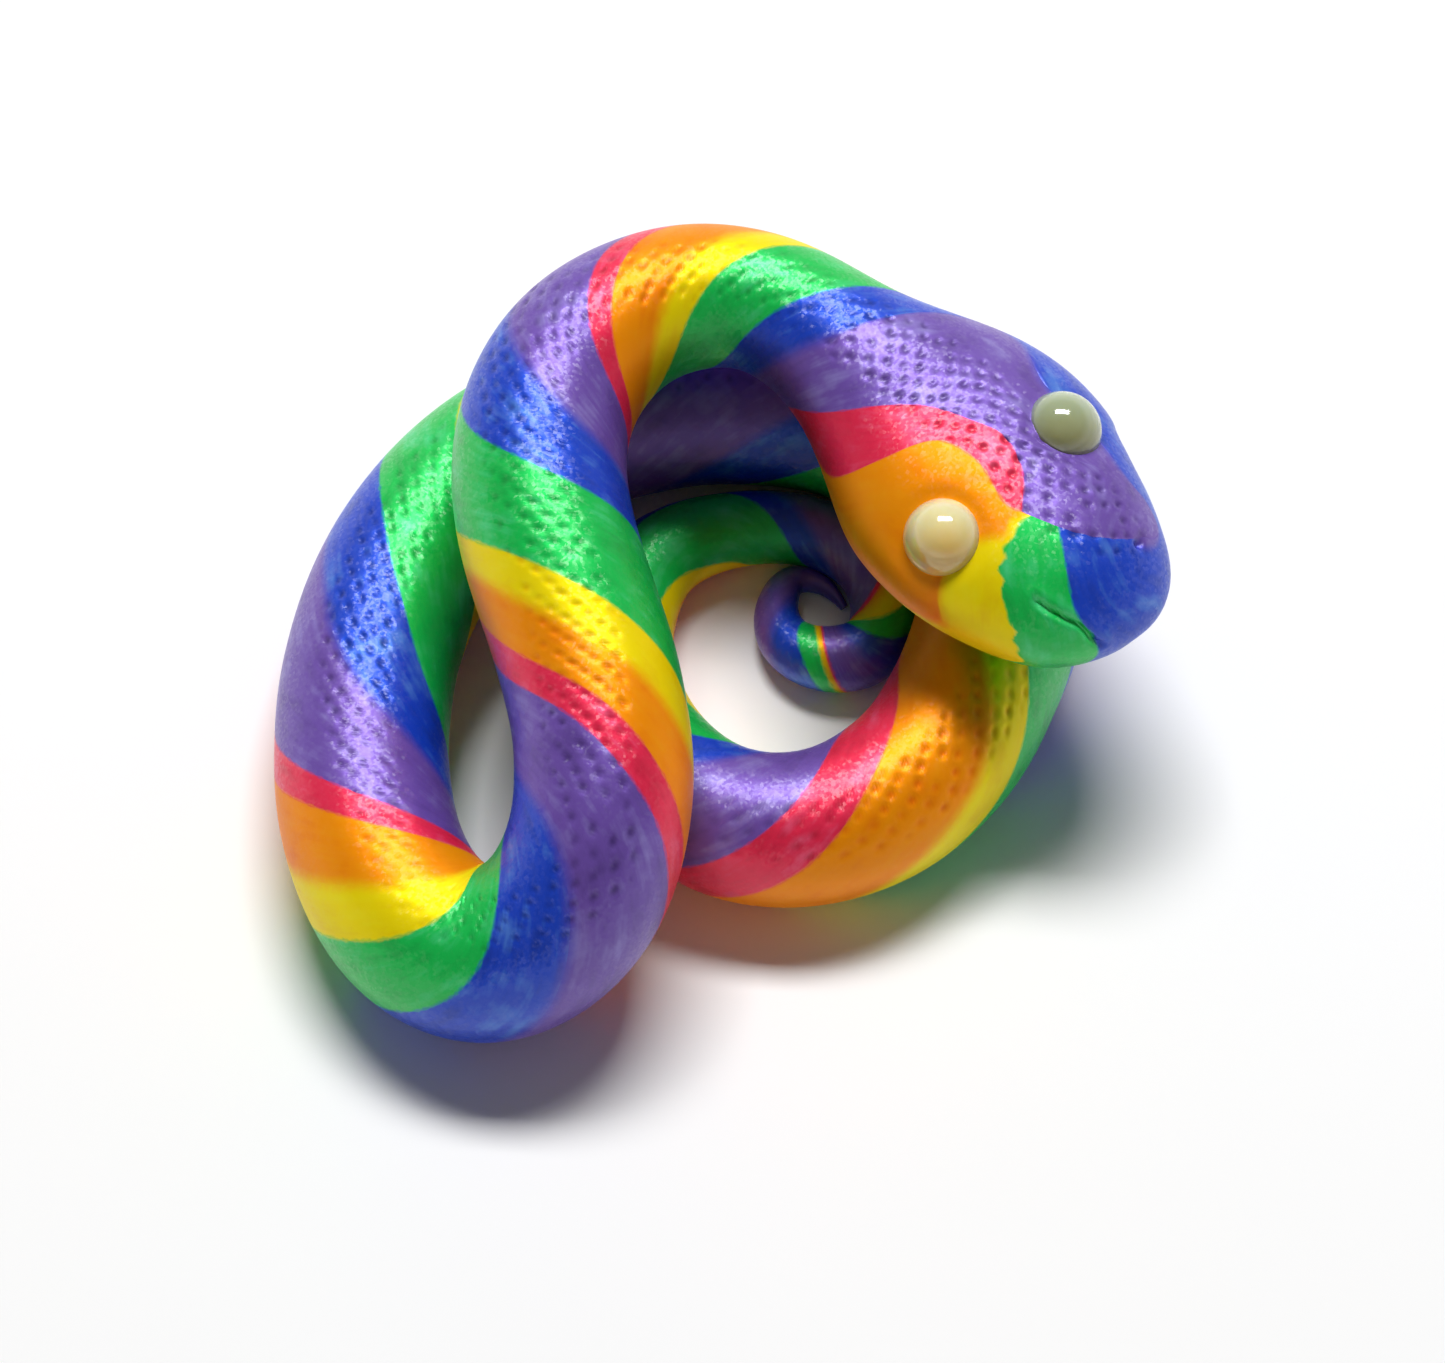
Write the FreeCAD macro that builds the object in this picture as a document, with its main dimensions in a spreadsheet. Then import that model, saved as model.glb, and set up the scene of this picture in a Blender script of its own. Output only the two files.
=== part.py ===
import FreeCAD, Part
import Sketcher
import bisect
import math
import os

# A small coiled snake of baked polymer clay.  Six coloured clay strands are twisted
# into one rope, rolled smooth, tapered to a curled tail at one end and pressed into a
# head at the other.  Two cabochon beads are pushed into the head as eyes.  Millimetres,
# +Z up, the coil rests on the plane z = 0, which is where the clay sat on the tile.

Vector = FreeCAD.Vector

doc = FreeCAD.newDocument("ClaySnake")
sheet = doc.addObject("Spreadsheet::Sheet", "Sizes")
SIZES = [
    ("rope_dia", 9.2, "thickness of the rolled rope in the main coils"),
    ("rest_flat", 0.1, "how far the soft clay settled on the tile"),
    ("eye_dia", 4.0, "diameter of an eye bead"),
    ("eye_rise", 1.45, "height of the bead's dome above its rim"),
    ("eye_back", 1.2, "depth of the bead below its rim"),
    ("eye_seat", 0.25, "how far the rim sits below the skin of the head"),
    ("socket_gap", 0.02, "clearance between a bead and its socket"),
]
for row, (alias, value, note) in enumerate(SIZES, start=1):
    sheet.set("A%d" % row, note)
    sheet.set("B%d" % row, str(value))
    sheet.setAlias("B%d" % row, alias)
doc.recompute()


def size(alias):
    """The number that a cell of the sheet holds."""
    return float(sheet.get(alias))


# Every length below is for a rope 9.2 mm thick, and is multiplied by SCALE.
SCALE = size("rope_dia") / 9.2
REST_FLAT = size("rest_flat") / SCALE
CENTRE_SHIFT = (0.29, -0.93)

# Guide points of the rope's centreline from the snout to the tip of the tail:
# x, y, lift of the underside above the tile, half width and half height there.
ROUTE = [
    (22.1, 0.5, 12.0, 0.00, 0.00),    # tip of the snout
    (22.1, 0.5, 11.1, 2.30, 1.15),
    (21.7, 0.65, 10.2, 3.30, 2.30),
    (19.45, 1.55, 9.6, 6.05, 3.50),
    (17.2, 2.7, 9.4, 6.80, 4.15),
    (14.6, 5.0, 9.3, 7.70, 4.45),
    (13.0, 7.6, 9.4, 7.90, 4.60),     # the cheeks, the widest place
    (10.6, 10.5, 9.8, 7.05, 4.35),
    (6.7, 14.0, 11.1, 3.90, 3.90),    # the neck
    (2.3, 17.9, 11.5, 3.65, 3.65),
    (-3.5, 17.8, 11.1, 3.95, 3.95),   # top of the arch
    (-8.1, 14.1, 10.4, 4.40, 4.40),
    (-9.9, 8.9, 9.6, 4.60, 4.60),
    (-9.1, 3.2, 9.1, 4.60, 4.60),
    (-7.2, -1.7, 7.7, 4.60, 4.60),    # crossing over the tail's coil
    (-5.9, -7.2, 6.8, 4.60, 4.60),
    (-6.1, -11.9, 5.3, 4.60, 4.60),
    (-7.9, -15.1, 2.4, 4.60, 4.60),
    (-11.9, -16.7, 0.1, 4.60, 4.60),  # the front bend, down on the tile
    (-16.0, -14.5, 0.0, 4.60, 4.60),
    (-18.5, -9.3, 0.0, 4.60, 4.60),
    (-19.1, -3.3, 0.0, 4.60, 4.60),   # the left side
    (-18.5, 3.3, 0.0, 4.60, 4.60),
    (-16.0, 9.4, 0.0, 4.60, 4.60),
    (-11.8, 14.4, 0.0, 4.60, 4.60),
    (-5.2, 17.5, 0.0, 4.60, 4.60),    # under the arch
    (1.8, 18.3, 0.0, 4.60, 4.60),
    (8.8, 16.7, 0.0, 4.60, 4.60),
    (14.1, 12.4, 0.0, 4.60, 4.60),    # under the head
    (15.6, 6.4, 0.0, 4.55, 4.55),
    (13.7, 0.5, 0.0, 4.35, 4.40),
    (11.2, -4.8, 0.0, 4.35, 4.35),    # the ring in front
    (6.0, -8.6, 0.0, 4.10, 4.15),
    (-0.4, -8.4, 0.0, 4.05, 4.05),
    (-4.2, -3.8, 0.0, 3.60, 3.50),
    (-5.8, 0.9, 0.0, 3.25, 3.15),
    (-5.6, 5.3, 0.0, 2.90, 2.80),
    (-3.7, 9.7, 0.0, 2.45, 2.50),
    (0.7, 11.5, 0.0, 2.00, 2.00),
    (4.8, 11.5, 0.0, 1.95, 2.00),
    (7.9, 9.6, 0.0, 1.85, 1.90),
    (8.9, 6.7, 0.0, 1.80, 1.80),      # the curl of the tail
    (8.4, 3.7, 0.0, 1.88, 1.88),
    (5.8, 3.0, 0.0, 1.83, 1.83),
    (3.6, 3.95, 0.0, 1.60, 1.60),
    (2.83, 5.75, 0.0, 1.33, 1.33),
    (2.97, 7.5, 0.0, 1.08, 1.08),
    (3.7, 9.1, 0.0, 0.80, 0.80),
    (5.6, 8.8, 0.0, 0.58, 0.58),
    (6.6, 7.4, 0.0, 0.25, 0.25),      # tip of the tail
]

# The lay of the strands behind the head.  Each row: station along the rope, the angle
# of the line between violet and blue, then the widths in degrees of the blue, green,
# yellow, orange and red strands.  Violet has what is left of the turn.
LAY = [
    (21.3, 13, 70, 92, 34, 60, 28),
    (23.5, 67, 70, 92, 34, 60, 28),
    (26.3, 130, 70, 92, 34, 60, 28),
    (29.3, 180, 70, 92, 34, 60, 26),
    (32.3, 222, 70, 92, 34, 60, 24),
    (35.3, 262, 72, 94, 34, 56, 24),
    (38.3, 300, 74, 96, 34, 50, 24),
    (41.3, 350, 78, 98, 34, 46, 26),
    (44.3, 395, 80, 100, 35, 42, 28),
    (47.3, 450, 80, 102, 36, 42, 28),
    (50.3, 510, 80, 104, 36, 42, 28),
    (53.3, 548, 80, 102, 36, 44, 28),
    (56.3, 578, 78, 98, 38, 44, 28),
    (59.3, 612, 76, 92, 40, 44, 28),
    (62.3, 650, 72, 86, 42, 48, 28),
    (65.3, 700, 70, 80, 44, 54, 28),
    (68.3, 745, 68, 74, 46, 58, 28),
    (71.3, 790, 67, 70, 48, 62, 28),
    (75.3, 858, 67, 68, 50, 66, 28),
    (79.3, 922, 66, 67, 50, 67, 28),
    (83.3, 985, 64, 68, 48, 67, 28),
    (87.3, 1040, 60, 70, 46, 66, 28),
    (91.3, 1084, 57, 74, 44, 64, 29),
    (97.3, 1124, 56, 80, 42, 62, 30),
    (102.3, 1168, 56, 82, 40, 60, 32),
    (110.3, 1275, 56, 80, 38, 62, 36),
    (123.3, 1378, 52, 76, 36, 66, 42),
    (137.3, 1484, 46, 70, 36, 74, 48),
    (149.3, 1585, 42, 66, 36, 80, 54),
    (154.3, 1628, 40, 65, 36, 82, 55),
    (159.3, 1672, 40, 65, 36, 82, 55),
    (163.3, 1724, 40, 65, 36, 78, 52),
    (167.3, 1776, 42, 62, 36, 70, 46),
    (171.3, 1830, 46, 58, 38, 60, 40),
    (176.3, 1868, 54, 54, 40, 50, 36),
    (182.3, 1872, 60, 58, 38, 40, 32),
    (187.3, 1902, 60, 112, 34, 30, 25),
    (190.3, 1912, 60, 138, 30, 24, 20),
    (191.8, 1880, 62, 132, 28, 22, 18),
    (193.3, 1836, 66, 112, 28, 20, 16),
    (195.3, 1774, 74, 84, 32, 16, 14),
    (198.3, 1706, 86, 66, 44, 12, 12),
    (201.6, 1640, 90, 60, 50, 12, 12),
    (203.4, 1590, 92, 62, 40, 12, 12),
    (204.6, 1530, 94, 66, 28, 12, 12),
    (205.8, 1420, 96, 70, 18, 12, 12),
    (207.2, 1254, 100, 70, 14, 12, 12),
    (208.5, 1180, 104, 66, 14, 12, 12),
    (210.0, 1095, 108, 60, 14, 12, 12),
    (212.4, 1030, 112, 54, 16, 14, 14),
    (217.3, 980, 112, 54, 18, 16, 16),
]

# The lay of the strands over the head.  Each line between two strands is a list of
# (place on the head's grid, station, angle).  The place runs from 0 at the slit on top of
# the snout, where the twisted end was folded shut, to 1 at the neck, station 21.3.  The
# slit is straight on the head's flat chart: its ends there, and the share of its length
# at which each line ends on it.
NECK = 21.3
SLIT_BACK = (8.7, 1.65)
SLIT_FRONT = (3.0, -1.25)
SLIT_SHARES = {"red_violet": 0.0, "orange_red": 0.04, "yellow_orange": 0.07,
               "green_yellow": 0.09, "blue_green": 0.28, "violet_blue": 1.0}
HEAD_LAY = {
    "red_violet": [
        (0.04, 8.3, -358.5), (0.10, 9.5, -364.5), (0.18, 11.2, -366),
        (0.30, 12.9, -359), (0.42, 14.4, -353), (0.53, 15.8, -345), (0.65, 17.5, -329),
        (0.86, 20.0, -292), (1.00, 21.3, -271)],
    "orange_red": [
        (0.04, 8.2, -347.5), (0.10, 9.9, -351), (0.16, 11.2, -350.5),
        (0.25, 13.0, -343), (0.38, 14.5, -319), (0.56, 17.0, -278), (0.82, 19.6, -255),
        (1.00, 21.3, -243)],
    "yellow_orange": [
        (0.03, 7.5, -342.5), (0.045, 7.3, -335.5), (0.06, 7.9, -328.5),
        (0.09, 8.3, -316), (0.12, 8.1, -303), (0.15, 7.8, -290), (0.19, 7.4, -270),
        (0.26, 10.0, -254), (0.42, 13.6, -234), (0.70, 17.5, -208), (1.00, 21.3, -183)],
    "green_yellow": [
        (0.03, 7.3, -342.5), (0.045, 6.95, -335.5), (0.06, 6.75, -325),
        (0.08, 6.1, -314), (0.11, 5.35, -300), (0.14, 4.75, -282), (0.18, 4.35, -263),
        (0.24, 6.0, -244), (0.38, 9.7, -218), (0.64, 15.5, -180), (1.00, 21.3, -149)],
    "blue_green": [
        (0.03, 5.05, -344), (0.05, 4.35, -333), (0.07, 3.55, -318.5),
        (0.10, 2.3, -302), (0.13, 1.75, -276), (0.17, 2.4, -242), (0.25, 4.8, -200),
        (0.42, 9.7, -148), (0.66, 15.5, -100), (1.00, 21.3, -57)],
    "violet_blue": [
        (0.04, 1.85, -26), (0.07, 1.6, -33), (0.10, 1.55, -41), (0.13, 1.75, -48),
        (0.16, 2.1, -51), (0.20, 2.7, -49), (0.25, 3.8, -44), (0.29, 5.3, -43.5),
        (0.32, 6.9, -46), (0.375, 9.5, -46), (0.46, 12.8, -39), (0.55, 15.6, -60),
        (0.60, 17.0, -66), (0.70, 18.7, -52), (0.91, 20.7, -6), (1.00, 21.3, 13)],
}
LINES = ["red_violet", "orange_red", "yellow_orange", "green_yellow", "blue_green",
         "violet_blue"]
STRANDS = ["red", "orange", "yellow", "green", "blue", "violet"]

HEAD_ROWS = 36      # grid rows over the head
BODY_ROWS = 246     # grid rows from the neck to the tip of the tail
ACROSS = 7          # grid points across one strand
FACE_SPANS = 12     # knot spans in one face of a strand
CORE_START = 7.5    # station inside the head where all the strands' inner edges begin
CORE_NOSE = 3.0     # keeps the head's flat chart smooth at the tip of the snout
# The blue strand wraps the tip of the snout, so its rows run straight across the flat
# chart there and not round the section, and violet's first rows meet them at the slit.
# Each entry: the place on the head's grid where that ends, and the length of the fade.
FLAT_ROWS = {"blue": (0.75, 0.35), "violet": (0.05, 0.05)}


# ---------------------------------------------------------------- the rope's route

def guide(index):
    """Guide point by index, with one more in line beyond each end."""
    last = len(ROUTE) - 1
    if index < 0:
        return [2 * a - b for a, b in zip(ROUTE[0], ROUTE[1])]
    if index > last:
        return [2 * a - b for a, b in zip(ROUTE[last], ROUTE[last - 1])]
    return ROUTE[index]


def blend(t, slope=False):
    """Smooth cubic blend of four neighbouring guide points, or its slope."""
    t = min(max(t, 0.0), len(ROUTE) - 1 - 1e-9)
    i = int(t)
    f = t - i
    if slope:
        weights = (-(1 - f) ** 2 / 2, (3 * f * f - 4 * f) / 2,
                   (-3 * f * f + 2 * f + 1) / 2, f * f / 2)
    else:
        weights = ((1 - f) ** 3 / 6, (3 * f ** 3 - 6 * f * f + 4) / 6,
                   (-3 * f ** 3 + 3 * f * f + 3 * f + 1) / 6, f ** 3 / 6)
    rows = [guide(i - 1 + k) for k in range(4)]
    return [sum(w * row[c] for w, row in zip(weights, rows)) for c in range(5)]


def centre_point(t):
    """Centre of the rope at guide parameter t, before scaling."""
    x, y, lift, side, up = blend(t)
    return Vector(x + CENTRE_SHIFT[0], y + CENTRE_SHIFT[1], lift + up - REST_FLAT)


STEPS = 60
TABLE_T = [k / STEPS for k in range((len(ROUTE) - 1) * STEPS + 1)]
TABLE_S = [0.0]
previous = centre_point(0.0)
for t_value in TABLE_T[1:]:
    here = centre_point(t_value)
    TABLE_S.append(TABLE_S[-1] + here.distanceToPoint(previous))
    previous = here
LENGTH = TABLE_S[-1]


def parameter_at(station):
    """Guide parameter of a station, the distance along the rope from the snout."""
    if station <= 0.0:
        return 0.0
    if station >= LENGTH:
        return TABLE_T[-1]
    k = bisect.bisect_right(TABLE_S, station) - 1
    span = TABLE_S[k + 1] - TABLE_S[k]
    return TABLE_T[k] + (station - TABLE_S[k]) / span / STEPS


def section(station):
    """Centre, sideways and upward directions and half sizes of the rope's section."""
    t = parameter_at(station)
    centre = centre_point(t)
    x, y, lift, side, up = blend(t)
    dx, dy, dlift, dside, dup = blend(max(t, 0.4), slope=True)
    along = Vector(dx, dy, dlift + dup).normalize()
    sideways = Vector(0, 0, 1).cross(along).normalize()
    upward = along.cross(sideways)
    return centre, sideways, upward, max(side, 0.0), max(up, 0.0)


def skin(station, angle):
    """Point of the rope's skin: an ellipse about the centreline, angle from the top."""
    centre, sideways, upward, side, up = section(station)
    a = math.radians(angle)
    return (centre + sideways * (side * math.sin(a)) + upward * (up * math.cos(a))) * SCALE


def core(station):
    """Point of the centreline, where the strands' inner edges meet."""
    return centre_point(parameter_at(station)) * SCALE


# ---------------------------------------------------------------- lines between strands

def smooth(xs, ys, x):
    """Cubic through the points with slopes taken from the neighbours."""
    k = min(max(bisect.bisect_right(xs, x) - 1, 0), len(xs) - 2)

    def slope(j):
        lo = max(j - 1, 0)
        hi = min(j + 1, len(xs) - 1)
        return (ys[hi] - ys[lo]) / (xs[hi] - xs[lo])

    width = xs[k + 1] - xs[k]
    f = (x - xs[k]) / width
    return ((2 * f ** 3 - 3 * f * f + 1) * ys[k] + (f ** 3 - 2 * f * f + f) * width * slope(k)
            + (-2 * f ** 3 + 3 * f * f) * ys[k + 1] + (f ** 3 - f * f) * width * slope(k + 1))


LAY_COLUMNS = list(zip(*LAY))


def lay_angles(station):
    """Angles of the six lines between strands at a station behind the neck."""
    line, blue, green, yellow, orange, red = [
        smooth(LAY_COLUMNS[0], LAY_COLUMNS[c], station) for c in range(1, 7)]
    violet_blue = line
    blue_green = violet_blue - blue
    green_yellow = blue_green - green
    yellow_orange = green_yellow - yellow
    orange_red = yellow_orange - orange
    red_violet = orange_red - red
    return [red_violet, orange_red, yellow_orange, green_yellow, blue_green, violet_blue]


def chart(station, angle):
    """The head's skin laid out flat about the tip of the snout."""
    reach = math.sqrt(station * (station + CORE_NOSE))
    a = math.radians(angle)
    return reach * math.cos(a), reach * math.sin(a)


def from_chart(x, y):
    """(station, angle) of a place on the flat chart."""
    reach = math.hypot(x, y)
    station = math.sqrt(reach * reach + CORE_NOSE ** 2 / 4) - CORE_NOSE / 2
    return station, math.degrees(math.atan2(y, x))


def head_columns(name):
    """Places, stations and angles of a line over the head, from its end on the slit."""
    x, y = (b + (f - b) * SLIT_SHARES[name] for b, f in zip(SLIT_BACK, SLIT_FRONT))
    station, angle = from_chart(x, y)
    if name != "violet_blue":
        angle -= 360.0
    return list(zip((0.0, station, angle), *HEAD_LAY[name]))


HEAD_COLUMNS = [head_columns(name) for name in LINES]


def body_station(k):
    """Station of body row k: 1 mm apart at first, closer in the tight tail."""
    x = k / BODY_ROWS
    span = LENGTH - NECK
    return NECK + span * (x + 0.62 * x * (1 - x) * (0.4 + x))


def ease(x):
    """Smooth step from 0 to 1."""
    x = min(max(x, 0.0), 1.0)
    return x * x * (3 - 2 * x)


def line_point(line, row):
    """(station, angle) of a line between strands at a grid position."""
    if row < HEAD_ROWS:
        places, stations, angles = HEAD_COLUMNS[line]
        place = row / HEAD_ROWS
        return smooth(places, stations, place), smooth(places, angles, place)
    station = body_station(row - HEAD_ROWS)
    return station, lay_angles(station)[line]


def core_point(row):
    """The strands' common inner edge at a grid position."""
    if row < HEAD_ROWS:
        f = row / HEAD_ROWS
        return core(CORE_START + (NECK - CORE_START) * f)
    return core(body_station(row - HEAD_ROWS))


def strand_point(strand, row, v):
    """Skin point of a strand, v from 0 at its lower line to 1 at its upper line."""
    s0, a0 = line_point(strand, row)
    s1, a1 = line_point((strand + 1) % 6, row)
    if strand == 5:
        a1 += 360.0
    station = s0 + (s1 - s0) * v
    angle = a0 + (a1 - a0) * v
    if STRANDS[strand] not in FLAT_ROWS or row >= HEAD_ROWS:
        return skin(station, angle)
    until, over = FLAT_ROWS[STRANDS[strand]]
    weight = ease((until - row / HEAD_ROWS) / over)
    ax, ay = chart(station, angle)
    x0, y0 = chart(s0, a0)
    x1, y1 = chart(s1, a1)
    x = weight * (x0 + (x1 - x0) * v) + (1 - weight) * ax
    y = weight * (y0 + (y1 - y0) * v) + (1 - weight) * ay
    return skin(*from_chart(x, y))


# ---------------------------------------------------------------- smooth surfaces

def knot_vector(count):
    """Knots and multiplicities of a clamped uniform cubic with this many poles."""
    spans = count - 3
    return [float(k) for k in range(spans + 1)], [4] + [1] * (spans - 1) + [4]


def flat_knots(count):
    knots, mults = knot_vector(count)
    return [k for k, m in zip(knots, mults) for _ in range(m)]


def basis_row(count, u):
    """The non-zero cubic basis values at u, as (first index, four values)."""
    flat = flat_knots(count)
    span = min(int(u), count - 4) + 3
    values = [1.0]
    for degree in (1, 2, 3):
        new = [0.0] * (degree + 1)
        for j in range(degree):
            left = flat[span - degree + 1 + j]
            right = flat[span + 1 + j]
            part = values[j] / (right - left)
            new[j] += (right - u) * part
            new[j + 1] += (u - left) * part
        values = new
    return span - 3, values


def sites(count):
    """Parameters where the surface is pinned: the averages of three knots in a row."""
    flat = flat_knots(count)
    return [(flat[k + 1] + flat[k + 2] + flat[k + 3]) / 3 for k in range(count)]


def solve_poles(points):
    """Poles of the cubic that passes through the points at the sites (band solve)."""
    count = len(points)
    rows = []
    for k, u in enumerate(sites(count)):
        first, values = basis_row(count, u)
        rows.append({first + j: v for j, v in enumerate(values) if abs(v) > 1e-14})
    rhs = [Vector(p) for p in points]
    for k in range(count):
        pivot = rows[k][k]
        for below in range(k + 1, min(k + 4, count)):
            factor = rows[below].get(k, 0.0) / pivot
            if factor:
                for column, value in rows[k].items():
                    rows[below][column] = rows[below].get(column, 0.0) - factor * value
                rhs[below] = rhs[below] - rhs[k] * factor
    poles = [None] * count
    for k in range(count - 1, -1, -1):
        total = Vector(rhs[k])
        for column, value in rows[k].items():
            if column > k:
                total = total - poles[column] * value
        poles[k] = total * (1.0 / rows[k][k])
    return poles


def split_faces(surface, spans):
    """The surface as a row of faces, each a dozen knot spans long."""
    cuts = list(range(0, max(spans - FACE_SPANS // 2, 1), FACE_SPANS)) + [spans]
    faces = []
    for start, end in zip(cuts, cuts[1:]):
        part = surface.copy()
        u0, u1, v0, v1 = surface.bounds()
        part.segment(float(start), float(end), v0, v1)
        faces.append(part.toShape())
    return faces


def cubic_faces(poles):
    """Faces of a bicubic surface from a grid of poles."""
    uk, um = knot_vector(len(poles))
    vk, vm = knot_vector(len(poles[0]))
    surface = Part.BSplineSurface()
    surface.buildFromPolesMultsKnots(poles, um, vm, uk, vk, False, False, 3, 3)
    return split_faces(surface, len(poles) - 3)


def ruled_faces(edge_poles, inner_poles):
    """Faces of straight lines between two cubic curves with the same knots."""
    uk, um = knot_vector(len(edge_poles))
    surface = Part.BSplineSurface()
    grid = [[a, b] for a, b in zip(edge_poles, inner_poles)]
    surface.buildFromPolesMultsKnots(grid, um, [2, 2], uk, [0.0, 1.0], False, False, 3, 1)
    return split_faces(surface, len(edge_poles) - 3)


ROWS = HEAD_ROWS + BODY_ROWS + 1
ROW_SITES = [u * (ROWS - 1) / (ROWS - 3) for u in sites(ROWS)]
ACROSS_SITES = [u / (ACROSS - 3) for u in sites(ACROSS)]


def at_sites(function):
    """Values of a function of the grid row, at the sites along the rope."""
    return [function(u) for u in ROW_SITES]


CORE_POLES = solve_poles(at_sites(core_point))


def strand_solid(strand):
    """One strand: outer skin, two walls to the core, and an end face at each end."""
    grid = [[strand_point(strand, u, v) for v in ACROSS_SITES] for u in ROW_SITES]
    grid = [solve_poles(row) for row in grid]
    columns = [solve_poles([row[j] for row in grid]) for j in range(ACROSS)]
    poles = [[column[i] for column in columns] for i in range(ROWS)]
    outer = cubic_faces(poles)
    low_wall = ruled_faces([row[0] for row in poles], CORE_POLES)
    high_wall = ruled_faces([row[-1] for row in poles], CORE_POLES)
    slit = ruled_faces(poles[0], [CORE_POLES[0]] * ACROSS)
    tip_arc = Part.BSplineCurve()
    knots, mults = knot_vector(ACROSS)
    tip_arc.buildFromPolesMultsKnots(poles[-1], mults, knots, False, 3)
    tip = Part.Face(Part.Wire([
        tip_arc.toShape(),
        Part.LineSegment(poles[-1][-1], CORE_POLES[-1]).toShape(),
        Part.LineSegment(CORE_POLES[-1], poles[-1][0]).toShape()]))
    shell = Part.makeShell(outer + low_wall + high_wall + slit + [tip])
    shell.sewShape(1e-4)
    solid = Part.Solid(shell)
    if solid.Volume < 0:
        solid.reverse()
    return solid


def feature(name, shape):
    """A document object that holds a finished shape."""
    obj = doc.addObject("Part::Feature", name)
    obj.Shape = shape
    obj.Placement = FreeCAD.Placement()
    return obj


# The tile: everything below z = 0 is pressed flat.
tile = doc.addObject("Part::Box", "Tile")
for side, factor in (("Length", 8), ("Width", 8), ("Height", 1)):
    tile.setExpression(side, "Sizes.rope_dia * %d" % factor)
tile.setExpression("Placement.Base.x", "-Sizes.rope_dia * 4")
tile.setExpression("Placement.Base.y", "-Sizes.rope_dia * 4")
tile.setExpression("Placement.Base.z", "-Sizes.rope_dia")


# ---------------------------------------------------------------- the eyes

EYES = [
    ("left_eye", 9.15, 41.5),      # node name, station, angle from the top of the head
    ("right_eye", 10.2, -35.0),
]


def eye_placement(station, angle):
    """The bead's rim lies on the skin, tipped square to it, and is then pushed in."""
    step = 0.4
    here = skin(station, angle)
    round_way = skin(station, angle + 4) - skin(station, angle - 4)
    along_way = skin(station + step, angle) - skin(station - step, angle)
    outward = along_way.cross(round_way).normalize()
    centre = core(station)
    if outward.dot(here - centre) < 0:
        outward = outward * -1
    rotation = FreeCAD.Rotation(Vector(0, 0, 1), outward)
    return FreeCAD.Placement(here - outward * size("eye_seat"), rotation)


def bead(name, placement):
    """Cabochon bead: a flat back, a straight rim and a domed front, turned in one."""
    body = doc.addObject("PartDesign::Body", name + "_body")
    plane = [f for f in body.Origin.OriginFeatures if f.Role == "XZ_Plane"][0]
    sketch = body.newObject("Sketcher::SketchObject", name + "_profile")
    sketch.AttachmentSupport = [(plane, "")]
    sketch.MapMode = "FlatFace"
    radius = size("eye_dia") / 2
    rise = size("eye_rise")
    back = size("eye_back")
    dome = (radius ** 2 + rise ** 2) / (2 * rise)
    centre_y = rise - dome
    start = math.atan2(-centre_y, radius)
    sketch.addGeometry(Part.LineSegment(Vector(0, rise, 0), Vector(0, -back, 0)), False)
    sketch.addGeometry(Part.LineSegment(Vector(0, -back, 0), Vector(radius, -back, 0)), False)
    sketch.addGeometry(Part.LineSegment(Vector(radius, -back, 0), Vector(radius, 0, 0)), False)
    circle = Part.Circle(Vector(0, centre_y, 0), Vector(0, 0, 1), dome)
    sketch.addGeometry(Part.ArcOfCircle(circle, start, math.pi / 2), False)
    C = Sketcher.Constraint
    sketch.addConstraint(C("Coincident", 0, 2, 1, 1))
    sketch.addConstraint(C("Coincident", 1, 2, 2, 1))
    sketch.addConstraint(C("Coincident", 2, 2, 3, 1))
    sketch.addConstraint(C("Coincident", 3, 2, 0, 1))
    sketch.addConstraint(C("PointOnObject", 0, 1, -2))
    sketch.addConstraint(C("PointOnObject", 0, 2, -2))
    sketch.addConstraint(C("Horizontal", 1))
    sketch.addConstraint(C("Vertical", 2))
    sketch.addConstraint(C("PointOnObject", 3, 3, -2))
    sketch.addConstraint(C("PointOnObject", 2, 2, -1))
    wide = sketch.addConstraint(C("DistanceX", 1, 1, 1, 2, radius))
    deep = sketch.addConstraint(C("DistanceY", 2, 1, 2, 2, back))
    tall = sketch.addConstraint(C("DistanceY", 2, 2, 0, 1, rise))
    sketch.setExpression("Constraints[%d]" % wide, "Sizes.eye_dia / 2")
    sketch.setExpression("Constraints[%d]" % deep, "Sizes.eye_back")
    sketch.setExpression("Constraints[%d]" % tall, "Sizes.eye_rise")
    turned = body.newObject("PartDesign::Revolution", name + "_turned")
    turned.Profile = sketch
    turned.ReferenceAxis = (sketch, ["V_Axis"])
    turned.Angle = 360
    body.Placement = placement
    body.Label = name
    return body


def socket(name, placement):
    """The hole that the bead is pressed into, open outwards."""
    hole = doc.addObject("Part::Cylinder", name + "_socket")
    hole.setExpression("Radius", "Sizes.eye_dia / 2 + Sizes.socket_gap")
    hole.setExpression("Height", "Sizes.eye_back + Sizes.socket_gap + Sizes.eye_dia")
    sunk = size("eye_back") + size("socket_gap")
    down = placement.Rotation.multVec(Vector(0, 0, -sunk))
    hole.Placement = FreeCAD.Placement(placement.Base + down, placement.Rotation)
    return hole


placements = {name: eye_placement(station, angle) for name, station, angle in EYES}
beads = [bead(name, placements[name]) for name, station, angle in EYES]
sockets = {name: socket(name, placements[name]) for name, station, angle in EYES}
doc.recompute()

# ---------------------------------------------------------------- the strands

# Which strands each bead is pressed into.
SOCKETS_IN = {"orange": ["left_eye"], "yellow": ["left_eye"], "blue": ["right_eye"],
              "violet": ["right_eye"]}


def cut(name, base, tool):
    """Document cut of one object by another."""
    obj = doc.addObject("Part::Cut", name)
    obj.Base = base
    obj.Tool = tool
    return obj


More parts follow.
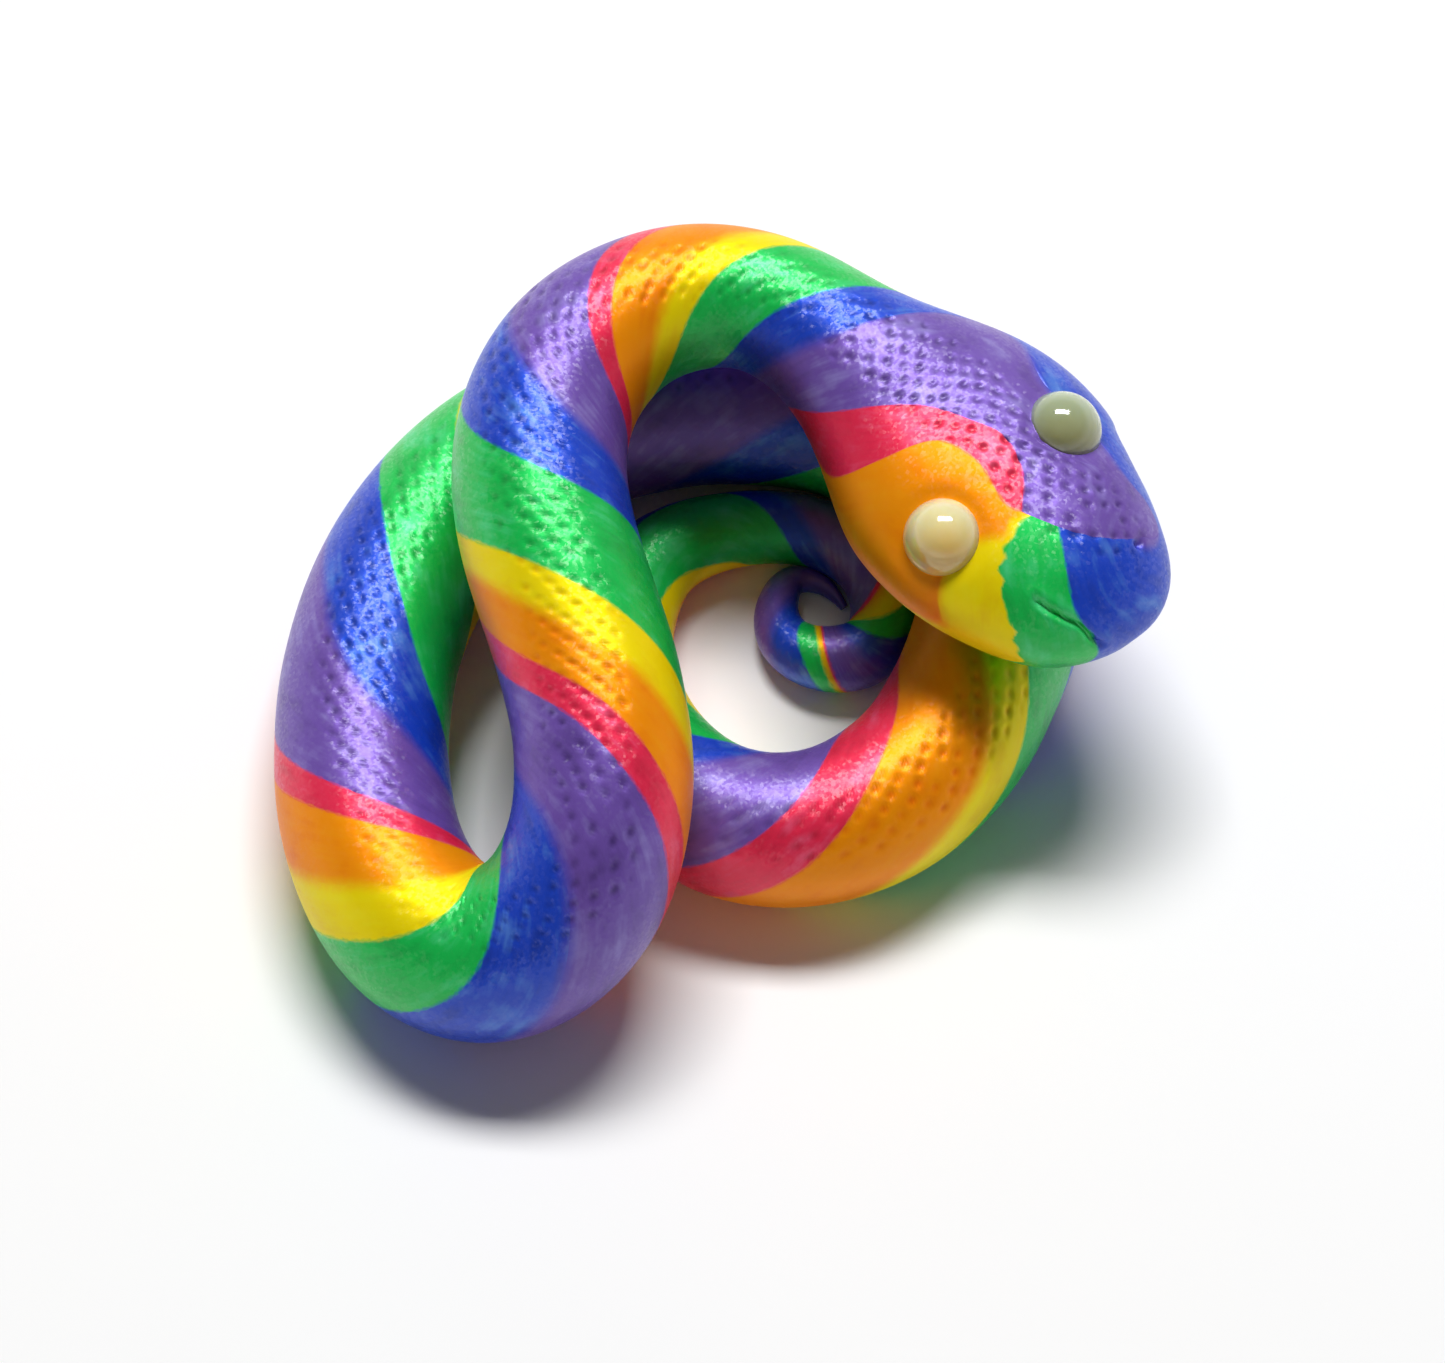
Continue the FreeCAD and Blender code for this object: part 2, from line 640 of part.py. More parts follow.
nodes = list(beads)
for strand, colour in enumerate(STRANDS):
    piece = feature(colour + "_rolled", strand_solid(strand))
    piece = cut(colour + "_rested", piece, tile)
    for eye in SOCKETS_IN.get(colour, []):
        piece = cut(colour + "_" + eye, piece, sockets[eye])
    piece.Label = colour + "_strand"
    nodes.append(piece)
doc.recompute()

# ---------------------------------------------------------------- checks and files

for obj in doc.Objects:
    if "Invalid" in obj.State or "Error" in obj.State:
        raise RuntimeError("object failed: " + obj.Name)
for node in nodes:
    shape = node.Shape
    if shape.isNull() or not shape.isValid() or len(shape.Solids) != 1:
        raise RuntimeError("bad shape: %s (%d solids)" % (node.Label, len(shape.Solids)))

os.makedirs("parts", exist_ok=True)
for node in nodes:
    node.Shape.exportStep("parts/" + node.Label + ".step")
    box = node.Shape.BoundBox
    print("%-14s %8.1f mm3  x %.1f %.1f  y %.1f %.1f  z %.2f %.2f" % (
        node.Label, node.Shape.Volume, box.XMin, box.XMax, box.YMin, box.YMax,
        box.ZMin, box.ZMax))
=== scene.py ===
# %% [markdown]
# # A coiled rainbow snake in pearl polymer clay
#
# The real figurine is rolled from six strands of mica clay. They are twisted into one
# rope, rolled smooth, tapered to a curled tail and pressed into a head, and two domed
# beads are set in as eyes. It is then baked. This lesson dresses the plain CAD pieces:
# each strand and each bead gets a finer surface of its own in the same place, with the
# maker's dimples, the mouth and the nostrils, and a clay finish made of shader nodes.

# %% Load the frame
import math
import bpy
import numpy as np
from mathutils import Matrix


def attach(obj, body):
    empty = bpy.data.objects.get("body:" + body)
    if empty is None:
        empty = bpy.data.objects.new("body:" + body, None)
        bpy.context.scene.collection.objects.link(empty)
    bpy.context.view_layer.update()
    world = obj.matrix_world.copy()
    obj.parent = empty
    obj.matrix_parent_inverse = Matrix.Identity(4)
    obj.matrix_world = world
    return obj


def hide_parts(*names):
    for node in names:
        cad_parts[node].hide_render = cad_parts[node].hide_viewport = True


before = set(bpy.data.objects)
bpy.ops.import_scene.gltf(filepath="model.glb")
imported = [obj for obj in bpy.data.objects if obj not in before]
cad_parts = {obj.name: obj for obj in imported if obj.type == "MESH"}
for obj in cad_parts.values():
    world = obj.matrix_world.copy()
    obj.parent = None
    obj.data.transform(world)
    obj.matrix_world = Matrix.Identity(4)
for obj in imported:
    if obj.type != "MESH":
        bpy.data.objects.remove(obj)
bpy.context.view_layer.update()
print("nodes:", ", ".join(sorted(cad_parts)))

# %% [markdown]
# ## The rope's route
#
# The rope is a tube whose middle line wanders through space, so the route is a short list
# of guide points with the half width and half height of the rope at each. A cubic blend
# of four neighbours at a time turns them into one smooth curve. A sweep modifier could do
# the same, but it could not change width and height apart, nor give the station of every
# vertex, and the strands need that.

# %% Guide points of the route
MM = 0.001
CENTRE = np.array([0.29, -0.93, 0.0])     # moves the coil's middle onto the frame's origin
REST_FLAT = 0.1                           # the soft clay settled this far on its tile

# x, y, lift of the underside above the tile, half width, half height, in millimetres.
ROUTE = np.array([
    (22.1, 0.5, 12.0, 0.00, 0.00),        # tip of the snout
    (22.1, 0.5, 11.1, 2.30, 1.15),
    (21.7, 0.65, 10.2, 3.30, 2.30),
    (19.45, 1.55, 9.6, 6.05, 3.50),
    (17.2, 2.7, 9.4, 6.80, 4.15),
    (14.6, 5.0, 9.3, 7.70, 4.45),
    (13.0, 7.6, 9.4, 7.90, 4.60),         # the cheeks, the widest place
    (10.6, 10.5, 9.8, 7.05, 4.35),
    (6.7, 14.0, 11.1, 3.90, 3.90),        # the neck
    (2.3, 17.9, 11.5, 3.65, 3.65),
    (-3.5, 17.8, 11.1, 3.95, 3.95),       # top of the arch
    (-8.1, 14.1, 10.4, 4.40, 4.40),
    (-9.9, 8.9, 9.6, 4.60, 4.60),
    (-9.1, 3.2, 9.1, 4.60, 4.60),
    (-7.2, -1.7, 7.7, 4.60, 4.60),        # crossing over the tail's coil
    (-5.9, -7.2, 6.8, 4.60, 4.60),
    (-6.1, -11.9, 5.3, 4.60, 4.60),
    (-7.9, -15.1, 2.4, 4.60, 4.60),
    (-11.9, -16.7, 0.1, 4.60, 4.60),      # the front bend, down on the tile
    (-16.0, -14.5, 0.0, 4.60, 4.60),
    (-18.5, -9.3, 0.0, 4.60, 4.60),
    (-19.1, -3.3, 0.0, 4.60, 4.60),       # the left side
    (-18.5, 3.3, 0.0, 4.60, 4.60),
    (-16.0, 9.4, 0.0, 4.60, 4.60),
    (-11.8, 14.4, 0.0, 4.60, 4.60),
    (-5.2, 17.5, 0.0, 4.60, 4.60),        # under the arch
    (1.8, 18.3, 0.0, 4.60, 4.60),
    (8.8, 16.7, 0.0, 4.60, 4.60),
    (14.1, 12.4, 0.0, 4.60, 4.60),        # under the head
    (15.6, 6.4, 0.0, 4.55, 4.55),
    (13.7, 0.5, 0.0, 4.35, 4.40),
    (11.2, -4.8, 0.0, 4.35, 4.35),        # the ring in front
    (6.0, -8.6, 0.0, 4.10, 4.15),
    (-0.4, -8.4, 0.0, 4.05, 4.05),
    (-4.2, -3.8, 0.0, 3.60, 3.50),
    (-5.8, 0.9, 0.0, 3.25, 3.15),
    (-5.6, 5.3, 0.0, 2.90, 2.80),
    (-3.7, 9.7, 0.0, 2.45, 2.50),
    (0.7, 11.5, 0.0, 2.00, 2.00),
    (4.8, 11.5, 0.0, 1.95, 2.00),
    (7.9, 9.6, 0.0, 1.85, 1.90),
    (8.9, 6.7, 0.0, 1.80, 1.80),          # the curl of the tail
    (8.4, 3.7, 0.0, 1.88, 1.88),
    (5.8, 3.0, 0.0, 1.83, 1.83),
    (3.6, 3.95, 0.0, 1.60, 1.60),
    (2.83, 5.75, 0.0, 1.33, 1.33),
    (2.97, 7.5, 0.0, 1.08, 1.08),
    (3.7, 9.1, 0.0, 0.80, 0.80),
    (5.6, 8.8, 0.0, 0.58, 0.58),
    (6.6, 7.4, 0.0, 0.25, 0.25),          # tip of the tail
])
GUIDES = np.vstack([2 * ROUTE[0] - ROUTE[1], ROUTE, 2 * ROUTE[-1] - ROUTE[-2]])
LAST = len(ROUTE) - 1
print("guide points:", len(ROUTE))


# %% One smooth curve
def blend(t, slope=False):
    """Uniform cubic B-spline through the guides: at parameter i + f the four guides from
    i - 1 to i + 2 are weighted with cubics of f that add up to one. With slope, the
    cubics' derivatives weight them instead."""
    t = np.clip(t, 0.0, LAST - 1e-9)
    i = t.astype(int)
    f = (t - i)[..., None]
    if slope:
        weights = (-(1 - f) ** 2 / 2, (3 * f * f - 4 * f) / 2,
                   (-3 * f * f + 2 * f + 1) / 2, f * f / 2)
    else:
        weights = ((1 - f) ** 3 / 6, (3 * f ** 3 - 6 * f * f + 4) / 6,
                   (-3 * f ** 3 + 3 * f * f + 3 * f + 1) / 6, f ** 3 / 6)
    return sum(w * GUIDES[i + k] for k, w in enumerate(weights))


def middle(t):
    """Centre of the rope: the guide's x and y, and its lift plus the half height."""
    row = blend(t)
    height = row[..., 2] + row[..., 4] - REST_FLAT
    return np.stack([row[..., 0], row[..., 1], height], axis=-1) + CENTRE


SAMPLES = 60                              # of the middle line, between two guides
table_t = np.linspace(0.0, LAST, LAST * SAMPLES + 1)
table_s = np.concatenate([[0.0], np.cumsum(np.linalg.norm(np.diff(middle(table_t), axis=0),
                                                          axis=1))])
LENGTH = table_s[-1]
print("rope is %.1f mm long and %.1f mm thick" % (LENGTH, 2 * ROUTE[:, 3:].max(axis=0)[1]))

# %% [markdown]
# ## The skin of the rope
#
# A point of the skin has two parameters: its station, the distance from the snout along
# the rope, and its angle round the section, counted from the top. The section is an
# ellipse square to the middle line. The outward direction comes from the cross product
# of two short steps on the skin, one along and one round, so it is right on the head's
# slopes as well.

# %% Section and skin
NOSE_TURN = 0.4                           # up to this parameter the direction is held
STEP_ALONG = 0.02                         # half the steps for the outward direction, mm
STEP_ROUND = 0.5                          # and degrees


def section(station):
    """Centre, sideways and upward unit vectors and half sizes of the rope's section. The
    sideways vector is level: the cross product of straight up and the direction along."""
    t = np.interp(station, table_s, table_t)
    row = blend(t)
    rate = blend(np.maximum(t, NOSE_TURN), slope=True)
    along = np.stack([rate[..., 0], rate[..., 1], rate[..., 2] + rate[..., 4]], axis=-1)
    along /= np.linalg.norm(along, axis=-1, keepdims=True)
    sideways = np.cross([0.0, 0.0, 1.0], along)
    sideways /= np.linalg.norm(sideways, axis=-1, keepdims=True)
    upward = np.cross(along, sideways)
    return middle(t), sideways, upward, np.maximum(row[..., 3], 0), np.maximum(row[..., 4], 0)


def skin(station, angle):
    """Centre + sideways * half width * sin(angle) + upward * half height * cos(angle)."""
    centre, sideways, upward, side, up = section(station)
    a = np.radians(angle)
    return (centre + sideways * (side * np.sin(a))[..., None]
            + upward * (up * np.cos(a))[..., None])


def outward(station, angle):
    """Unit normal of the skin: a step round crossed with a step along."""
    s = np.maximum(station, 0.05)
    along = skin(s + STEP_ALONG, angle) - skin(s - STEP_ALONG, angle)
    around = skin(s, angle + STEP_ROUND) - skin(s, angle - STEP_ROUND)
    normal = np.cross(along, around)
    return normal / np.maximum(np.linalg.norm(normal, axis=-1, keepdims=True), 1e-12)


top_check = outward(np.array([60.0]), np.array([0.0]))[0]
print("outward on top of the rope:", np.round(top_check, 2))

# %% [markdown]
# ## The lay of the strands
#
# Twisting makes each line between two colours a helix, but a hand never twists evenly.
# So the lines are kept as angles at a few stations, joined by smooth cubics. On the head
# the lines run forward and close up at a slit on top of the snout, where the maker
# folded the twisted end shut, so there each line has its own list of places.

# %% Lines between the strands
STRANDS = ["red", "orange", "yellow", "green", "blue", "violet"]

# station, angle of the line between violet and blue, then the widths in degrees of the
# blue, green, yellow, orange and red strands; violet has the rest of the turn.
LAY = np.array([
    (21.3, 13, 70, 92, 34, 60, 28), (23.5, 67, 70, 92, 34, 60, 28),
    (26.3, 130, 70, 92, 34, 60, 28), (29.3, 180, 70, 92, 34, 60, 26),
    (32.3, 222, 70, 92, 34, 60, 24), (35.3, 262, 72, 94, 34, 56, 24),
    (38.3, 300, 74, 96, 34, 50, 24), (41.3, 350, 78, 98, 34, 46, 26),
    (44.3, 395, 80, 100, 35, 42, 28), (47.3, 450, 80, 102, 36, 42, 28),
    (50.3, 510, 80, 104, 36, 42, 28), (53.3, 548, 80, 102, 36, 44, 28),
    (56.3, 578, 78, 98, 38, 44, 28), (59.3, 612, 76, 92, 40, 44, 28),
    (62.3, 650, 72, 86, 42, 48, 28), (65.3, 700, 70, 80, 44, 54, 28),
    (68.3, 745, 68, 74, 46, 58, 28), (71.3, 790, 67, 70, 48, 62, 28),
    (75.3, 858, 67, 68, 50, 66, 28), (79.3, 922, 66, 67, 50, 67, 28),
    (83.3, 985, 64, 68, 48, 67, 28), (87.3, 1040, 60, 70, 46, 66, 28),
    (91.3, 1084, 57, 74, 44, 64, 29), (97.3, 1124, 56, 80, 42, 62, 30),
    (102.3, 1168, 56, 82, 40, 60, 32), (110.3, 1275, 56, 80, 38, 62, 36),
    (123.3, 1378, 52, 76, 36, 66, 42), (137.3, 1484, 46, 70, 36, 74, 48),
    (149.3, 1585, 42, 66, 36, 80, 54), (154.3, 1628, 40, 65, 36, 82, 55),
    (159.3, 1672, 40, 65, 36, 82, 55), (163.3, 1724, 40, 65, 36, 78, 52),
    (167.3, 1776, 42, 62, 36, 70, 46), (171.3, 1830, 46, 58, 38, 60, 40),
    (176.3, 1868, 54, 54, 40, 50, 36), (182.3, 1872, 60, 58, 38, 40, 32),
    (187.3, 1902, 60, 112, 34, 30, 25), (190.3, 1912, 60, 138, 30, 24, 20),
    (191.8, 1880, 62, 132, 28, 22, 18), (193.3, 1836, 66, 112, 28, 20, 16),
    (195.3, 1774, 74, 84, 32, 16, 14), (198.3, 1706, 86, 66, 44, 12, 12),
    (201.6, 1640, 90, 60, 50, 12, 12), (203.4, 1590, 92, 62, 40, 12, 12),
    (204.6, 1530, 94, 66, 28, 12, 12), (205.8, 1420, 96, 70, 18, 12, 12),
    (207.2, 1254, 100, 70, 14, 12, 12), (208.5, 1180, 104, 66, 14, 12, 12),
    (210.0, 1095, 108, 60, 14, 12, 12), (212.4, 1030, 112, 54, 16, 14, 14),
    (217.3, 980, 112, 54, 18, 16, 16),
])

# place on the head's grid, from 0 at the slit to 1 at the neck; station; angle.
NECK = 21.3
HEAD_LAY = [
    [(0.04, 8.3, -358.5), (0.10, 9.5, -364.5), (0.18, 11.2, -366),
     (0.30, 12.9, -359), (0.42, 14.4, -353), (0.53, 15.8, -345),
     (0.65, 17.5, -329), (0.86, 20.0, -292), (1.00, 21.3, -271)],        # red, violet
    [(0.04, 8.2, -347.5), (0.10, 9.9, -351), (0.16, 11.2, -350.5),
     (0.25, 13.0, -343), (0.38, 14.5, -319), (0.56, 17.0, -278),
     (0.82, 19.6, -255), (1.00, 21.3, -243)],                            # orange, red
    [(0.03, 7.5, -342.5), (0.045, 7.3, -335.5), (0.06, 7.9, -328.5),
     (0.09, 8.3, -316), (0.12, 8.1, -303), (0.15, 7.8, -290), (0.19, 7.4, -270),
     (0.26, 10.0, -254), (0.42, 13.6, -234), (0.70, 17.5, -208),
     (1.00, 21.3, -183)],                                                # yellow, orange
    [(0.03, 7.3, -342.5), (0.045, 6.95, -335.5), (0.06, 6.75, -325),
     (0.08, 6.1, -314), (0.11, 5.35, -300), (0.14, 4.75, -282), (0.18, 4.35, -263),
     (0.24, 6.0, -244), (0.38, 9.7, -218), (0.64, 15.5, -180),
     (1.00, 21.3, -149)],                                                # green, yellow
    [(0.03, 5.05, -344), (0.05, 4.35, -333), (0.07, 3.55, -318.5),
     (0.10, 2.3, -302), (0.13, 1.75, -276), (0.17, 2.4, -242), (0.25, 4.8, -200),
     (0.42, 9.7, -148), (0.66, 15.5, -100), (1.00, 21.3, -57)],          # blue, green
    [(0.04, 1.85, -26), (0.07, 1.6, -33), (0.10, 1.55, -41), (0.13, 1.75, -48),
     (0.16, 2.1, -51), (0.20, 2.7, -49), (0.25, 3.8, -44), (0.29, 5.3, -43.5),
     (0.32, 6.9, -46), (0.375, 9.5, -46), (0.46, 12.8, -39), (0.55, 15.6, -60),
     (0.60, 17.0, -66), (0.70, 18.7, -52), (0.91, 20.7, -6), (1.00, 21.3, 13)],  # violet, blue
]
# The slit where the twisted end was folded shut is straight on the head's flat chart:
# its two ends there, and the share of its length at which each line ends on it.
SLIT_BACK = np.array([8.7, 1.65])
SLIT_FRONT = np.array([3.0, -1.25])
SLIT_SHARES = [0.0, 0.04, 0.07, 0.09, 0.28, 1.0]
CHART_NOSE = 3.0                           # keeps the chart smooth at the tip
HEAD_ROWS = 36
BODY_ROWS = 246
CROWDING = 0.62                            # how much the rows crowd towards the tail
print("the lay has %d places behind the neck and %d on the head"
      % (len(LAY), sum(len(line) for line in HEAD_LAY)))

# %% [markdown]
# ## Following a line
#
# Smooth cubics join those places. Round the tip of the snout the angles crowd together,
# as lines of longitude do at a pole, so the slit is drawn on a flat chart of the head,
# with the tip of the snout in its middle.


# %% Lines at any row
def smooth(xs, ys, x):
    """Cubic through the points; the slope at each is that between its two neighbours."""
    before = np.maximum(np.arange(len(xs)) - 1, 0)
    after = np.minimum(np.arange(len(xs)) + 1, len(xs) - 1)
    slopes = (ys[after] - ys[before]) / (xs[after] - xs[before])
    k = np.clip(np.searchsorted(xs, x, side="right") - 1, 0, len(xs) - 2)
    width = xs[k + 1] - xs[k]
    f = (x - xs[k]) / width
    return ((2 * f ** 3 - 3 * f * f + 1) * ys[k] + (f ** 3 - 2 * f * f + f) * width * slopes[k]
            + (-2 * f ** 3 + 3 * f * f) * ys[k + 1] + (f ** 3 - f * f) * width * slopes[k + 1])


def ease(x):
    """Smooth step from 0 to 1: x squared times (3 - 2 x)."""
    x = np.clip(x, 0.0, 1.0)
    return x * x * (3 - 2 * x)


def body_station(k):
    """Station of body row k: about 1 mm apart at first, closer in the tight tail. The
    share x of the rows is moved on by crowding * x * (1 - x) * (0.4 + x)."""
    x = k / BODY_ROWS
    return NECK + (LENGTH - NECK) * (x + CROWDING * x * (1 - x) * (0.4 + x))


def chart(station, angle):
    """The head's skin laid flat about the snout: reach root(s (s + nose)) at the angle."""
    reach = np.sqrt(station * (station + CHART_NOSE))
    return reach * np.cos(np.radians(angle)), reach * np.sin(np.radians(angle))


def from_chart(x, y):
    """Station root(x x + y y + nose nose / 4) - nose / 2, and the angle of (x, y)."""
    return (np.sqrt(x * x + y * y + CHART_NOSE ** 2 / 4) - CHART_NOSE / 2,
            np.degrees(np.arctan2(y, x)))


def head_line(line):
    """A line over the head, from its end on the slit back to the neck."""
    x, y = SLIT_BACK + (SLIT_FRONT - SLIT_BACK) * SLIT_SHARES[line]
    station, angle = from_chart(x, y)
    turn = 0.0 if line == 5 else -360.0
    return np.array([(0.0, station, angle + turn)] + HEAD_LAY[line])


HEAD_LINES = [head_line(line) for line in range(6)]


def line_at(line, row):
    """Station and angle of a line between strands at each row of the grid. Behind the
    neck the angle is that of violet and blue less the widths of the strands between."""
    head = HEAD_LINES[line]
    place = np.clip(row / HEAD_ROWS, 0, 1)
    station = body_station(np.maximum(row - HEAD_ROWS, 0))
    columns = [smooth(LAY[:, 0], LAY[:, c], station) for c in range(1, 7)]
    angle = columns[0] - sum(columns[1:6 - line], np.zeros_like(station))
    on_head = row < HEAD_ROWS
    return (np.where(on_head, smooth(head[:, 0], head[:, 1], place), station),
            np.where(on_head, smooth(head[:, 0], head[:, 2], place), angle))


ends = np.array([HEAD_ROWS, HEAD_ROWS + BODY_ROWS], dtype=float)
for name, line in (("violet and blue", 5), ("orange and red", 1)):
    first, last = line_at(line, ends)[1]
    print("line between %s makes %.1f turns behind the neck" % (name, (last - first) / 360))

# %% [markdown]
# ## Building the grid of a strand
#
# Each strand is a grid: rows lie about an eighth of a millimetre apart along the rope,
# columns run from the strand's lower line to its upper line. The CAD strand is the same
# wedge with far fewer rows. The blue strand wraps the tip of the snout, where rows round
# the section would all meet in one point, so there its rows cross a flat chart of the
# head instead, as a map of the pole does.

# %% Stations and angles over a strand's grid
ROW_STEP = 0.14                            # along the body, mm
TAIL_STEP = 0.06                           # and at the tip of the tail
THIN_FROM = 175.0                          # the steps shrink from this station
THIN_OVER = 35.0                           # over this length
HEAD_STEPS = 7                             # fine rows to one row of the head's grid
COLUMNS = {"red": 24, "orange": 46, "yellow": 28, "green": 52, "blue": 44, "violet": 50}
CORE_START = 7.5                           # where the strands' inner edges begin
# the share of the head up to which rows cross the flat chart, and the share of fading
FLAT_ROWS = {"blue": (0.75, 0.35), "violet": (0.05, 0.05)}
NEVER_FLAT = (-1.0, 1.0)                   # the other strands
LOOKUP = 4000                              # steps of the table from stations to rows


def fine_rows():
    """Row numbers, closer where the tail thins: the step shrinks with the station."""
    stations = [NECK]
    while stations[-1] < LENGTH - 0.01:
        thin = min(max((stations[-1] - THIN_FROM) / THIN_OVER, 0.0), 1.0)
        stations.append(stations[-1] + ROW_STEP + (TAIL_STEP - ROW_STEP) * thin)
    stations[-1] = LENGTH
    k = np.linspace(0, BODY_ROWS, LOOKUP + 1)
    body = HEAD_ROWS + np.interp(stations, body_station(k), k)
    return np.concatenate([np.arange(HEAD_ROWS * HEAD_STEPS) / HEAD_STEPS, body])


def strand_places(strand, rows):
    """Stations and angles over the grid: shares of the way from the lower line to the
    upper one, on the flat chart near the tip of the snout and on the skin elsewhere."""
    v = np.linspace(0, 1, COLUMNS[STRANDS[strand]] + 1)[None, :]
    s0, a0 = (x[:, None] for x in line_at(strand, rows))
    s1, a1 = (x[:, None] for x in line_at((strand + 1) % 6, rows))
    turn = 360.0 if strand == 5 else 0.0
    station = s0 + (s1 - s0) * v
    angle = a0 + (a1 + turn - a0) * v
    until, over = FLAT_ROWS.get(STRANDS[strand], NEVER_FLAT)
    weight = ease((until - rows / HEAD_ROWS) / over)[:, None]
    weight = np.where(rows[:, None] < HEAD_ROWS, weight, 0.0)
    ax, ay = chart(station, angle)
    x0, y0 = chart(s0, a0)
    x1, y1 = chart(s1, a1)
    x = weight * (x0 + (x1 - x0) * v) + (1 - weight) * ax
    y = weight * (y0 + (y1 - y0) * v) + (1 - weight) * ay
    flat_station, flat_angle = from_chart(x, y)
    flat = weight > 0
    return np.where(flat, flat_station, station), np.where(flat, flat_angle, angle)


ROWS = fine_rows()
print("fine rows along the rope:", len(ROWS))

# %% [markdown]
# ## The maker's marks
#
# After rolling, the maker pressed rows of small pits along the back with a fine tool, so
# they read as scales. The rows run slantwise over the rope, about a millimetre apart, and
# follow a strip whose middle wanders. The pits are real dents in the mesh, and the clay
# finish sharpens them, so each point also keeps its place among the rows.

# %% Pits along the back
PITCH = 0.90                               # from one pit to the next, mm
ROW_TURN = math.radians(38)                # how far the rows slant to the rope
PIT_RADIUS = 0.36
PIT_DEPTH = 0.16
ASTRAY = 0.16                              # how far a hand strays, as a share of the pitch
MISSED = 0.06                              # share of the pits that were never pressed
EDGE_BEYOND = 4.0                          # the strip's edge fades out this far past it
EDGE_FADE = 7.0                            # over this width, degrees
DRIFT_ALONG = 0.20                         # slow waves in the rows, mm
DRIFT_ACROSS = 0.12

# station, middle of the strip and half its width in degrees, how firmly it is pressed.
STRIP = np.array([
    (1.2, -8, 10, 0.0), (2.5, -10, 16, 0.8), (5.5, -9, 20, 1.0), (8.3, -6, 16, 1.0),
    (11.0, -6, 14, 1.0), (14.0, -4, 20, 1.0), (17.5, -2, 26, 1.0), (20.0, 0, 28, 1.0),
    (23.3, 8, 26, 0.9), (31.3, 10, 26, 0.8),
    (37.3, -25, 36, 1.0), (45.3, -10, 28, 0.9), (53.3, -8, 28, 0.6), (60.8, -14, 30, 0.9),
    (66.3, 17, 24, 1.0), (71.3, 5, 22, 0.7), (79.3, 0, 16, 0.4), (85.3, -6, 18, 0.9),
    (93.3, 6, 26, 1.0), (103.3, 4, 24, 0.9), (119.3, 0, 24, 0.7), (147.3, 18, 22, 0.7),
    (154.3, 28, 24, 1.0), (160.3, 34, 24, 1.0), (166.3, 30, 18, 0.4), (171.3, 28, 12, 0.0),
])
print("pits %.2f mm apart, in rows turned %.0f degrees" % (PITCH, math.degrees(ROW_TURN)))


# %% How deep each pit is
def scatter(i, j, seed):
    """A fixed number from 0 to 1 for each cell of a grid: the fraction of a large sine."""
    return np.mod(np.sin(i * 12.9898 + j * 78.233 + seed * 37.719) * 43758.5453, 1.0)


def pit_rows(station, angle):
    """Place among the slanting rows, where whole numbers are pits, and the pressure:
    station and distance across, both made a little uneven, turned and divided by the
    pitch. The pressure fades at the edges of the strip and differs from pit to pit."""
    side = section(station)[3]
    around = np.mod(angle + 180.0, 360.0) - 180.0
    across = np.radians(around) * side
    along = station + DRIFT_ALONG * np.sin(0.43 * station + 0.5 * across)
    across = across + DRIFT_ACROSS * np.sin(0.71 * station)
    u = (along * math.cos(ROW_TURN) + across * math.sin(ROW_TURN)) / PITCH
    v = (across * math.cos(ROW_TURN) - along * math.sin(ROW_TURN)) / PITCH
    i, j = np.round(u), np.round(v)
    centre, half, firm = (np.interp(station, STRIP[:, 0], STRIP[:, c]) for c in (1, 2, 3))
    press = firm * ease((half + EDGE_BEYOND - np.abs(around - centre)) / EDGE_FADE)
    press = press * (0.5 + 0.5 * scatter(i, j, 3)) * (scatter(i, j, 4) > MISSED)
    u = u + ASTRAY * (scatter(i, j, 1) - 0.5)
    v = v + ASTRAY * (scatter(i, j, 2) - 0.5)
    return u, v, press


def pits(u, v, press):
    """Depth of the pits, round each whole number of both rows: the full depth times the
    pressure times a smooth step of 1 - distance / radius."""
    away = PITCH * np.hypot(u - np.round(u), v - np.round(v))
    return PIT_DEPTH * press * ease(1.0 - away / PIT_RADIUS)


def swell(station, angle):
    """Unevenness of hand rolling, always inwards: sums of slow sines, up to 0.05 mm."""
    a = np.radians(angle)
    return (0.013 * (1 + np.sin(0.83 * station + 2 * a + 1.3 * np.sin(0.21 * station)))
            + 0.012 * (1 + np.sin(0.37 * station - 3 * a + 0.7)))


try_station = np.linspace(NECK, LENGTH, 2000)[:, None]
try_angle = np.linspace(-40.0, 60.0, 60)[None, :] + 0.0 * try_station
try_pits = pits(*pit_rows(try_station + 0.0 * try_angle, try_angle))
print("deepest pit %.2f mm; dents cover %.0f %% of the back"
      % (try_pits.max(), 100 * (try_pits > 0.03).mean()))

# %% [markdown]
# ## The face
#
# The mouth is one line drawn with a blade, with a fuller lip above it and the edge of the
# jaw below. The nostril is one prick of a needle. Each eye bead was pressed in, which
# leaves a soft hollow with a low rim round it. All of them depend only on how far a point
# of the skin lies from a line or a centre, so they are functions of that distance.

# %% Mouth, nostril and eye hollows
MOUTH = np.array([(4.95, 43.5), (4.58, 45.0), (4.04, 46.5), (3.56, 48.0), (3.08, 49.5),
                  (2.42, 58.5), (1.82, 66.0)])
